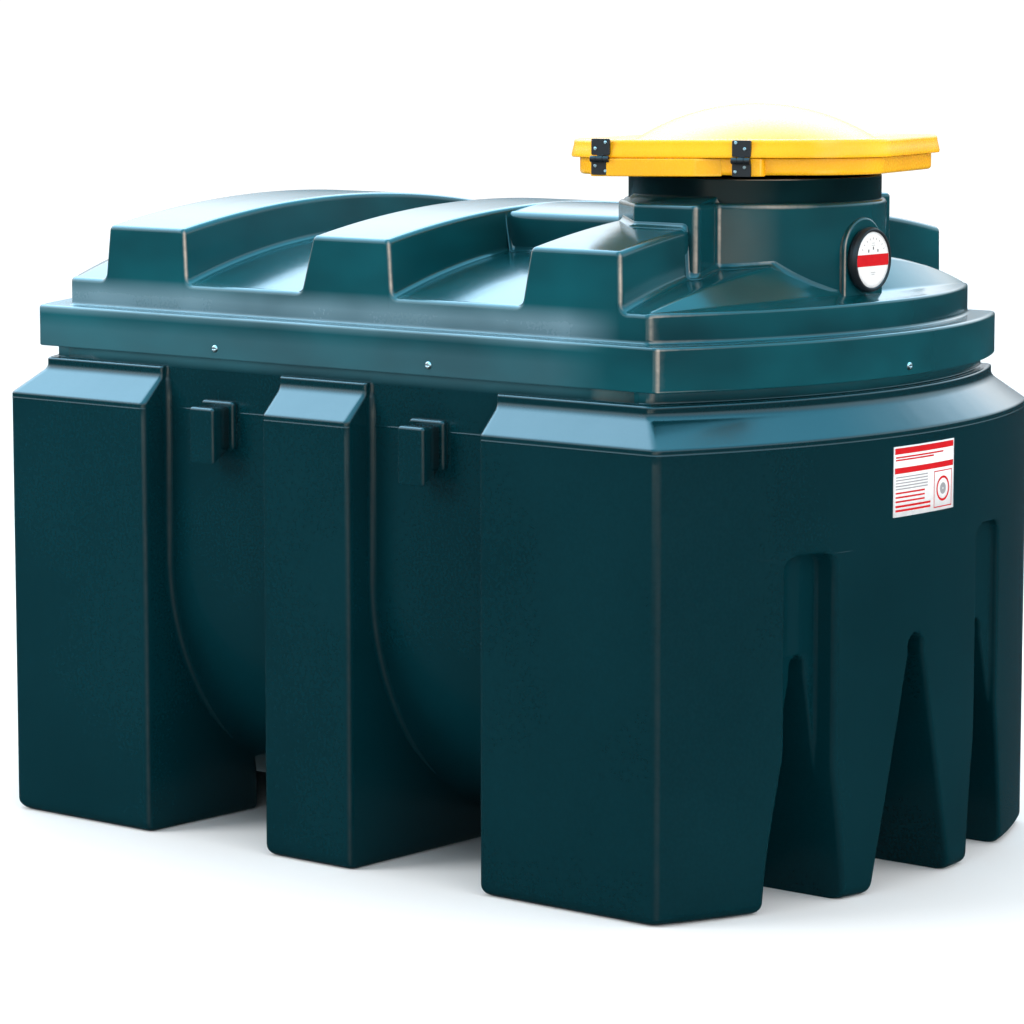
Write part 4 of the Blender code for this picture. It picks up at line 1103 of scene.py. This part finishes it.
class TANK_OT_gauge(bpy.types.Operator):
    """Arched boss on the neck with the round gauge"""
    bl_idname = "tank.gauge"
    bl_label = "Gauge"

    def execute(self, context):
        """An arched outline carried along X, a turned ring and disc, and thin marks on the disc."""
        self.boss()
        self.bezel()
        self.dial()
        return {"FINISHED"}

    def place(self, grid):
        """Stood on the gauge's axis."""
        return facing(grid, "X", (GAUGE_FACE_X, 0.0, GAUGE_Z))

    def boss(self):
        """Straight sides under a half circle, with a rounded front edge."""
        turn = np.linspace(0.0, math.pi, 41)
        arch = join(np.cos(turn), np.sin(turn))
        rise = np.linspace(1.055, BOSS_Z, 8)[:-1]
        right, out = join(BOSS_HALF, rise), join(1.0, 0 * rise)
        outline = np.concatenate([right, (0.0, BOSS_Z) + BOSS_HALF * arch, (right * (-1, 1))[::-1]])
        grid = slab(outline, np.concatenate([out, arch, -out]), (0.8395, GAUGE_FACE_X), 0.005)
        make_piece("gauge_boss_skin", Skin().add_solid(facing(grid, "X")), ["gauge_boss"])

    def bezel(self):
        """A bevelled ring: its section of radius and depth is turned about the gauge's axis."""
        section, _ = rounded_path([(0.0560, 0.0003, 0.001), (0.0610, 0.0085, 0.002), (0.0610, 0.0150, 0.0020),
                                   (0.0580, 0.0215, 0.0015), (0.0540, 0.0215, 0.0010),
                                   (0.0525, 0.0190, 0.0004), (0.0525, 0.0003, 0.0004)], steps=4, guard=0.0003)
        make_piece("gauge_bezel_skin", Skin().add_loop(self.place(turned(section))), ["gauge_bezel"],
                   [black_finish()])

    def dial(self):
        """A slightly crowned disc, and just over it a red band between two chords, ticks on an
        arc and lines of print."""
        disc = [(0.00001, 0.0170), (0.0530, 0.0170), (0.0530, 0.0190), (0.045, 0.0195), (0.03, 0.0198),
                (0.00001, 0.0200)]
        skin = Skin().add_loop(self.place(turned(disc)))
        radii, heights = np.array(disc[:1:-1]).T
        def mark(x, y, finish):
            height = np.interp(np.hypot(x, y), radii, heights) + 0.00025
            skin.add_grid(self.place(join(x, y, height)), finish=finish)
        level = np.linspace(-0.0115, 0.0105, 9)[:, None]
        mark(np.sqrt(0.0515 ** 2 - level ** 2) * np.linspace(-1.0, 1.0, 21), level, 1)
        for angle in range(30, 151, 15):
            turn = np.radians(angle + np.array([[-0.9], [0.0], [0.9]]))
            radius = np.array([0.0385, 0.0420])
            mark(radius * np.cos(turn), radius * np.sin(turn), 2)
        for x, low in ((-0.015, 0.0145), (0.0, 0.0195), (0.015, 0.0145)):
            mark(x + np.array([[-0.0016], [0.0016]]), low + np.array([0.0, 0.0055]), 2)
        for level, half in ((0.0275, 0.0060), (0.0315, 0.0040), (-0.0235, 0.0070), (-0.0270, 0.0050)):
            mark(np.linspace(-half, half, 9)[:, None], level + np.array([-0.0005, 0.0005]), 3)
        names = ("printed_white", "signal_red", "print_black", "label_grey")
        make_piece("gauge_dial_skin", skin, ["gauge_dial"], [plain_finish(name) for name in names])


class TANK_OT_label(bpy.types.Operator):
    """Blank label on the gauge end: plain coloured blocks on white"""
    bl_idname = "tank.label"
    bl_label = "Label"

    def execute(self, context):
        """A thin sheet that follows the bowed face, with flat blocks, lines and rings laid on it."""
        skin = Skin()
        def lay(y, z, finish, lift):
            grid = join(end_face(y, 0.0) + lift, y, z)
            skin.add_grid(grid, finish=finish)
            return grid
        def block(start, stop, level, half, finish, columns, lift=0.0010):
            rise = level + half * np.array([-1, 0, 1])
            return lay(np.linspace(start, stop, columns)[:, None], rise, finish, lift)
        sheet = block(-0.080, 0.126, 0.771, 0.066, 0, 25, 0.0008)
        edge = np.concatenate([sheet[:, 0], sheet[-1, 1:], sheet[-2::-1, -1], sheet[0, -2:0:-1]])
        skin.add_grid(np.stack([edge, edge - (0.0012, 0, 0)]), wrap_columns=True)
        rows = [(-0.077, 0.123, 0.82825, 0.00575, 1, 25), (-0.077, 0.123, 0.7915, 0.0055, 1, 25),
                (-0.074, 0.085, 0.8165, 0.0015, 1, 17), (-0.074, 0.050, 0.8115, 0.0015, 1, 17),
                (0.052, 0.118, 0.7795, 0.0010, 1, 9), (0.052, 0.118, 0.7115, 0.0010, 1, 9),
                (0.052, 0.054, 0.7455, 0.0350, 1, 9), (0.116, 0.118, 0.7455, 0.0350, 1, 9)]
        rows += [(-0.074, 0.030, level, 0.0011, 2, 13) for level in (0.779, 0.7735, 0.768, 0.7625, 0.757)]
        rows += [(-0.074, 0.020, level, 0.0016, 1, 13) for level in (0.7495, 0.7415, 0.7335)]
        rows += [(-0.074, 0.040, level, 0.0020, 1, 13) for level in (0.7245, 0.7165)]
        for row in rows:
            block(*row)
        turn = np.linspace(0.0, 2 * math.pi, 41)
        for low, high, finish in ((0.0195, 0.0240, 1), (0.0020, 0.0110, 2)):
            radius = np.array([[low], [high]])
            lay(0.085 + radius * np.cos(turn), 0.7455 + radius * np.sin(turn), finish, 0.0010)
        names = ("label_white", "signal_red", "label_grey")
        make_piece("label", skin, [], [plain_finish(name) for name in names], open_edge=True)
        return {"FINISHED"}


# The lid, in a frame turned on the neck: X along the hinges, -Y towards them

def on_lid(grid):
    """A grid in the lid's own frame, turned and moved on to the neck."""
    cos, sin = math.cos(LID_TURN), math.sin(LID_TURN)
    x, y, z = np.moveaxis(grid, -1, 0)
    return join(NECK_X + cos * x - sin * y, sin * x + cos * y, z)


def tilted(grid):
    """The lid sits a little high on its hinge side and to the right: height grows evenly that way."""
    return on_lid(grid + join(0.0, 0.0, grid[..., :2] @ LID_TILT))


def cut_square(inset):
    """The lid's outline drawn in by an inset: a square with cut and well rounded corners."""
    half = LID_SIDE - inset
    short = half - (LID_CUT - 0.586 * inset)
    radius = bpy.context.scene.tank_sizes.lid_corner - inset
    corners = [(-short, -half), (short, -half), (half, -short), (half, short)]
    corners += [(-x, -y) for x, y in corners]
    points, normals = rounded_path([(x, y, radius) for x, y in corners], steps=8)
    points, normals = split_long(points, 0.03, normals)
    return points + LID_SHIFT, normals


class TANK_OT_tray(bpy.types.Operator):
    """Yellow tray round the neck's mouth, with the proud pads behind the hinges"""
    bl_idname = "tank.tray"
    bl_label = "Filling tray"

    def execute(self, context):
        """A wall along the cut square, closed inwards to the round mouth above and below; the
        floor's points run straight from the square to the circle in the same direction."""
        outer, normals = cut_square(TRAY_INSET)
        ways, edge, top, floor = unit(outer), 0.007, SEAM_Z - 0.0004, TRAY_LOW + 0.006
        rows = rings(0.0, ways, [(TRAY_MOUTH, TRAY_LOW), (TRAY_MOUTH + 0.0175, TRAY_LOW)])
        rows += rings(outer, -normals, [
            (0.010, TRAY_LOW), *((0.0, TRAY_LOW) + edge * quarter(4)[:, ::-1]),
            (0.0, TRAY_LOW + edge + 0.003), (0.0, top - 0.0035), (0.0, top - 0.0015),
            (0.0005, top - 0.0004), (0.0015, top), (0.0085, top), (0.0095, top - 0.0010),
            (0.0100, top - 0.004), (0.0100, floor + 0.0050), (0.0118, floor + 0.0013), (0.0160, floor)])
        rows += rings(0.0, ways, [
            (TRAY_MOUTH + 0.0175, floor), (TRAY_MOUTH + 0.0015, floor), (TRAY_MOUTH, floor - 0.0015)])
        skin = Skin().add_loop(tilted(raised(rows)))
        # Distances across the lid of the pads' face, of the hinges' seats and of the pads' roots
        face, seat, root = -0.3105, -0.3035, -0.2855
        long_pad = [(-0.230, seat, 0.004), (-0.1985, seat, 0.001), (-0.1955, face, 0.004),
                    (-0.026, face, 0.030), (0.034, root, 0.003), (-0.200, root, 0.003),
                    (-0.226, -0.270, 0.004)]
        short_pad = [(0.044, seat, 0.004), (0.103, seat, 0.006), (0.106, root, 0.003), (0.044, root, 0.003)]
        for pad in (long_pad, short_pad):
            grid = slab(*rounded_path(pad, guard=0.0005), (TRAY_LOW - 0.002, top), 0.0028, both=True)
            skin.add_solid(tilted(grid))
        make_piece("tray_skin", skin, ["filling_tray"], [lid_finish("moulded_yellow_tray", 0.93)])
        return {"FINISHED"}


class TANK_OT_lid(bpy.types.Operator):
    """Yellow lid: an upright band with cut corners under a shallow dome"""
    bl_idname = "tank.lid"
    bl_label = "Filling lid"

    def execute(self, context):
        """From the middle of the dome's underside out to the band, down round its lower edge and
        up again to the middle of the dome: one closed skin from pole to pole."""
        outer, normals = cut_square(0.0)
        ways = unit(outer)
        wall, edge, draft, rest = 0.006, 0.0070, 0.0045, BAND_TOP - 0.0012
        sphere = (DOME_RADIUS ** 2 + DOME_RISE ** 2) / (2 * DOME_RISE)
        def dome(radii, lower=0.0):
            centre = DOME_FOOT + DOME_RISE - sphere - lower
            return rings(0.0, ways, [(r, centre + math.sqrt(sphere ** 2 - r ** 2)) for r in radii])
        rows = dome((0.00002, 0.04, 0.08, 0.12, 0.16, 0.19, 0.215, 0.232), wall)
        rows += rings(0.0, ways, [(GROOVE_RADIUS, DOME_FOOT - wall)])
        rows += rings(outer, -normals, [
            (0.026, BAND_TOP - wall - 0.002), (0.018, BAND_TOP - 0.0085), (0.013, BAND_TOP - 0.013),
            (wall, SEAM_Z + 0.003), (0.0052, SEAM_Z + 0.0008), (0.003, SEAM_Z + 0.0004),
            (0.0010, SEAM_Z + 0.0009), (0.0, SEAM_Z + 0.0025), (0.0, SEAM_Z + 0.006),
            (draft * 0.5, SEAM_Z + 0.016), (draft, BAND_TOP - edge - 0.003),
            *((draft, BAND_TOP) + quarter(6) * (edge, -edge)),
            (draft + edge + 0.003, BAND_TOP), (draft + 0.020, rest)])
        inside = outer - normals * (draft + 0.020)
        rows += [(inside + (ways * GROOVE_RADIUS - inside) * share, rest - drop)
                 for share, drop in ((0.35, 0.003), (0.7, 0.0062), (0.9, 0.0074))]
        rows += rings(0.0, ways, [
            (GROOVE_RADIUS, DOME_FOOT - 0.0002), (0.2405, DOME_FOOT + 0.0001), (0.2385, DOME_FOOT + 0.0008),
            (0.2360, DOME_FOOT + 0.0021)])
        rows += dome((0.232, 0.225, 0.215, 0.20, 0.18, 0.155, 0.13, 0.10, 0.07, 0.04, 0.015, 0.00002))
        make_piece("lid_skin", Skin().add_grid(tilted(raised(rows)), wrap_columns=True), ["lid"],
                   [lid_finish()], "lid")
        return {"FINISHED"}


class TANK_OT_hinges(bpy.types.Operator):
    """Two black strap hinges with their knuckles and screws"""
    bl_idname = "tank.hinges"
    bl_label = "Hinges"

    def execute(self, context):
        """Rounded plates standing on the lid's face, with turned knuckles on the hinge line."""
        # Places of each hinge's screws across and along its leaves, the upper two first
        heads = (((0.0097, 0.0305), (-0.0101, 0.0190), (-0.0101, -0.0130), (0.0097, -0.0225)),
                 ((-0.0108, 0.0325), (0.0062, 0.0215), (0.0062, -0.0120), (-0.0115, -0.0205)))
        for number, x, places in zip((1, 2), HINGE_X, heads):
            lower = Skin().add_solid(self.leaf(x, -0.0295, -0.0042))
            for start, stop in ((-LEAF_HALF, -0.0071), (0.0071, LEAF_HALF)):
                self.add_knuckle(lower, x + start, x + stop, 0.0024, (-0.0058, -0.0032))
            pin = turned([(0.0025, x - 0.0168), (0.0025, x + 0.0168)], 24).transpose(1, 0, 2)
            lower.add_solid(self.place(facing(pin, "X")))
            upper = Skin().add_solid(self.leaf(x, 0.0068, 0.0375))
            self.add_knuckle(upper, x - 0.0065, x + 0.0065, 0.0034, (0.0020, 0.0088))
            for word, skin, body, spots in (("lower", lower, "tank", places[2:]),
                                            ("upper", upper, "lid", places[:2])):
                for across, height in spots:
                    head = facing(screw_head(0.0034, 0.0016), "-Y", (x + across, 0.0041, height))
                    skin.add_grid(self.place(head), finish=1)
                name = f"hinge_{number}_{word}"
                make_piece(f"{name}_skin", skin, [name], [black_finish(), plain_finish("screw_metal")],
                           body)
        return {"FINISHED"}

    def place(self, grid):
        """From the hinge line, with +Y towards the lid, to the tank's frame."""
        return on_lid(grid + (0.0, HINGE_Y, HINGE_Z))

    def leaf(self, x, low, high):
        """A plate with rounded corners and a rounded face edge."""
        outline = rounded_box((x - LEAF_HALF, low), (x + LEAF_HALF, high), 0.0030, guard=0.0008)
        return self.place(facing(slab(*outline, (-0.0092, -0.0040), 0.0008), "-Y"))

    def add_knuckle(self, skin, start, stop, bore, web):
        """A rounded bead turned about the hinge line, and the curl of the plate from it to its leaf."""
        section, _ = rounded_path([(0.006, start, 0.0008), (0.006, stop, 0.0008), (bore, stop, 0.0003),
                                   (bore, start, 0.0003)], steps=3, guard=0.0003)
        skin.add_loop(self.place(facing(turned(section, 32), "X")))
        low, high = (start + 0.0003, web[0]), (stop - 0.0003, web[1])
        outline = rounded_box(low, high, 0.0005, steps=2, guard=0.0002)
        skin.add_solid(self.place(facing(slab(*outline, (-0.0082, -0.0036), 0.0004), "-Y")))


def screw_head(radius, height):
    """A domed head with a crossed recess: a square grid eased on to a disc, whose height is the
    dome less a smooth notch along both of its middle lines."""
    line = np.linspace(-1.0, 1.0, 17)
    u, v = np.meshgrid(line, line, indexing="ij")
    x, y = u * np.sqrt(1 - v ** 2 / 2), v * np.sqrt(1 - u ** 2 / 2)
    away = np.hypot(x, y)
    dome = np.sqrt(np.clip(1 - away ** 2.6, 0.0, 1.0))
    notch = np.exp(-(np.minimum(np.abs(x), np.abs(y)) / 0.13) ** 2) * (away < 0.62)
    return join(radius * x, radius * y, height * (dome - 0.55 * notch))


class TANK_OT_screws(bpy.types.Operator):
    """Screws through the rim into the bund"""
    bl_idname = "tank.screws"
    bl_label = "Rim screws"

    def execute(self, context):
        """Domed heads on the rim's face, on each side and at both ends."""
        skin = Skin()
        head = screw_head(0.0075, 0.0038)
        for side in (1, -1):
            for x in (-0.305, 0.250):
                skin.add_grid(facing(head, "-Y", (x, -RIM_HALF, 0.980)) * (1, side, 1))
            end = facing(head, "X", (RIM_CORNER_X + END_BOW, 0.03, 0.978))
            skin.add_grid(end * (side, 1, 1) + (RIM_SHIFT, 0, 0))
        make_piece("rim_screws", skin, [], [plain_finish("screw_metal")], open_edge=True)
        return {"FINISHED"}


class TANK_OT_carried(bpy.types.Operator):
    """Finishes on the solids that show as they are"""
    bl_idname = "tank.carried"
    bl_label = "Carried solids"

    def execute(self, context):
        """Each solid's slots take the detailed finish of its colour."""
        others = {"filling_tray": lid_finish(), "lid": lid_finish(), "gauge_bezel": black_finish(),
                  "gauge_dial": plain_finish("printed_white")}
        others.update({f"hinge_{number}_{word}": black_finish() for number in (1, 2)
                       for word in ("lower", "upper")})
        for name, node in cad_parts.items():
            for slot in node.material_slots:
                slot.material = others.get(name) or bund_finish()
        return {"FINISHED"}


class TANK_OT_stage(bpy.types.Operator):
    """Pale floor, soft studio light and the camera"""
    bl_idname = "tank.stage"
    bl_label = "Stage"

    def execute(self, context):
        """The floor is a flat disc. The light is a pale sky with two soft lamps, and a third that
        shows in gloss alone as bright ground in front of the tank."""
        self.floor()
        self.sky(context)
        self.lamp("left", (-3.6, -5.2, 3.4), (0.0, 0.0, 0.8), (3.0, 3.0), 300.0, (0.96, 0.99, 1.0))
        self.lamp("overhead", (0.3, -0.6, 4.4), (0.1, 0.0, 1.0), (3.2, 3.2), 28.0, (0.95, 0.98, 1.0))
        ground = (6.5, -19.5, 0.01)
        self.lamp("ground", ground, (6.5, -19.5, 3.0), (19.0, 21.0), 3000.0, (1.0, 0.95, 0.80), gloss=True)
        camera = bpy.data.cameras.new("camera")
        camera.sensor_fit = "HORIZONTAL"
        camera.sensor_width = 36.0
        camera.lens = 137.96
        camera.clip_end = 100.0
        eye = bpy.data.objects.new("camera", camera)
        context.scene.collection.objects.link(eye)
        eye.location = (5.05740658, -6.08911509, 1.65556068)
        eye.rotation_euler = (math.radians(82.595172), 0.0, math.radians(39.75671))
        context.scene.camera = eye
        context.scene.view_settings.view_transform = "Standard"
        return {"FINISHED"}

    def floor(self):
        """Rings of points round the tank's middle, from next to the centre outwards."""
        grid = turned([(radius, -0.0005) for radius in (0.001, 1.0, 3.0, 8.0, 20.0)])
        mesh = bpy.data.meshes.new("floor")
        faces = grid_faces(*grid.shape[:2], wrap_rows=True)
        mesh.from_pydata(grid.reshape(-1, 3).tolist(), [], faces.tolist())
        finish = Finish("floor_paint")
        mesh.materials.append(finish.done((0.88, 0.88, 0.88, 1.0), 0.75 + 0.1 * finish.noise(3.0, 3.0)))
        floor = bpy.data.objects.new("floor", mesh)
        bpy.context.scene.collection.objects.link(floor)
        floor.visible_glossy = False

    def sky(self, context):
        """White to the camera. Plain light is stronger from the gauge end and softer from the
        front. Gloss sees a dark ground and a pale band above it that turns blue higher up,
        brighter to the left."""
        world = bpy.data.worlds.new("studio")
        context.scene.world = world
        world.cycles.sampling_method = "NONE"
        nodes = Nodes(world)
        way = nodes.add("ShaderNodeTexCoord", output="Generated")
        white = (1.0, 1.0, 1.0, 1.0)
        def along(*direction):
            return nodes.add("ShaderNodeVectorMath", {"operation": "DOT_PRODUCT"}, {0: way, 1: direction},
                             output="Value")
        def ray(kind):
            return nodes.add("ShaderNodeLightPath", output=kind)
        def background(colour, strength):
            return nodes.add("ShaderNodeBackground", None, {0: colour, 1: strength})
        def choose(share, first, second):
            return nodes.add("ShaderNodeMixShader", None, {0: share, 1: first, 2: second})
        def ramp(*stops):
            """Colours by the height in degrees from which they are seen."""
            made = nodes.add("ShaderNodeValToRGB", None, {0: 0.5 + 0.5 * along(0.0, 0.0, 1.0)})
            elements = made.output.node.color_ramp.elements
            places = [0.5 + 0.5 * math.sin(math.radians(degrees)) for degrees, _ in stops]
            for place in places[1:-1]:
                elements.new(place)
            for element, place, (_, colour) in zip(elements, places, stops):
                element.position = place
                element.color = (*(part / SKY for part in colour), 1.0)
            return made
        ground = ((-90, (0.02, 0.03, 0.03)), (0, (0.04, 0.06, 0.07)))
        left = ramp(*ground, (3, (0.30, 0.36, 0.40)), (6, (0.75, 0.82, 0.88)), (9, (0.9, 1.0, 1.08)),
                    (12, (1.9, 2.1, 2.2)), (15, (2.5, 2.7, 2.85)), (25, (2.9, 4.0, 4.9)),
                    (40, (4.2, 7.5, 9.9)), (90, (4.3, 8.0, 10.7)))
        right = ramp(*ground, (4, (0.25, 0.32, 0.36)), (10, (1.1, 1.5, 1.75)), (20, (1.3, 1.9, 2.25)),
                     (32, (1.0, 1.9, 2.5)), (45, (0.57, 2.2, 3.2)), (90, (1.0, 3.4, 4.8)))
        gloss = background(nodes.mix(along(-0.94, 0.34, 0.0).between(0.2, 0.6), right, left), SKY)
        end = along(1.0, 0.0, 0.0).between(0.45, 0.85)
        front = along(0.1, -0.995, 0.0).between(0.45, 0.85)
        soft = background(white, 1.12 + (1.5 * end - 0.80 * front))
        plain = choose(ray("Is Camera Ray"), soft, background(white, 1.12))
        nodes.add("ShaderNodeOutputWorld", None, {0: choose(ray("Is Glossy Ray"), plain, gloss)})

    def lamp(self, name, place, aim, size, power, colour, gloss=False):
        """A soft rectangular lamp turned to a point. It shows in plain light or in gloss, and never
        to the camera."""
        light = bpy.data.lights.new(name, "AREA")
        light.shape = "RECTANGLE"
        light.size, light.size_y = size
        light.energy = power
        light.color = colour
        lamp = bpy.data.objects.new(name, light)
        lamp.visible_camera = False
        lamp.visible_glossy = gloss
        lamp.visible_diffuse = not gloss
        bpy.context.scene.collection.objects.link(lamp)
        lamp.location = place
        lamp.rotation_euler = (Vector(aim) - Vector(place)).to_track_quat("-Z", "Y").to_euler()


OPERATORS = (TANK_OT_trough, TANK_OT_ends, TANK_OT_middle_feet, TANK_OT_lugs, TANK_OT_cover, TANK_OT_spine,
             TANK_OT_rim, TANK_OT_screws, TANK_OT_neck, TANK_OT_gauge, TANK_OT_label, TANK_OT_tray,
             TANK_OT_lid, TANK_OT_hinges, TANK_OT_carried, TANK_OT_stage)


class TANK_PT_tank(bpy.types.Panel):
    """The tank's pieces, sizes and colours"""
    bl_label = "Bunded storage tank"
    bl_space_type = "VIEW_3D"
    bl_region_type = "UI"
    bl_category = "Tank"

    def draw(self, context):
        """Sizes and colours above one button for each operator."""
        for group in (context.scene.tank_sizes, context.scene.tank_colours):
            box = self.layout.box()
            for name in group.__annotations__:
                box.prop(group, name)
        for operator in OPERATORS:
            self.layout.operator(operator.bl_idname)


CLASSES = (TankSizes, TankColours, *OPERATORS, TANK_PT_tank)


def register():
    """Add the classes and the scene's settings."""
    for cls in CLASSES:
        bpy.utils.register_class(cls)
    bpy.types.Scene.tank_sizes = PointerProperty(type=TankSizes)
    bpy.types.Scene.tank_colours = PointerProperty(type=TankColours)


def unregister():
    """Remove the scene's settings and the classes."""
    del bpy.types.Scene.tank_colours
    del bpy.types.Scene.tank_sizes
    for cls in reversed(CLASSES):
        bpy.utils.unregister_class(cls)


def main():
    """Dress the tank piece by piece."""
    register()
    for old in ("Cube", "Light", "Camera"):
        if old in bpy.data.objects:
            bpy.data.objects.remove(bpy.data.objects[old])
    for operator in OPERATORS:
        family, name = operator.bl_idname.split(".")
        getattr(getattr(bpy.ops, family), name)()


if __name__ == "__main__":
    main()
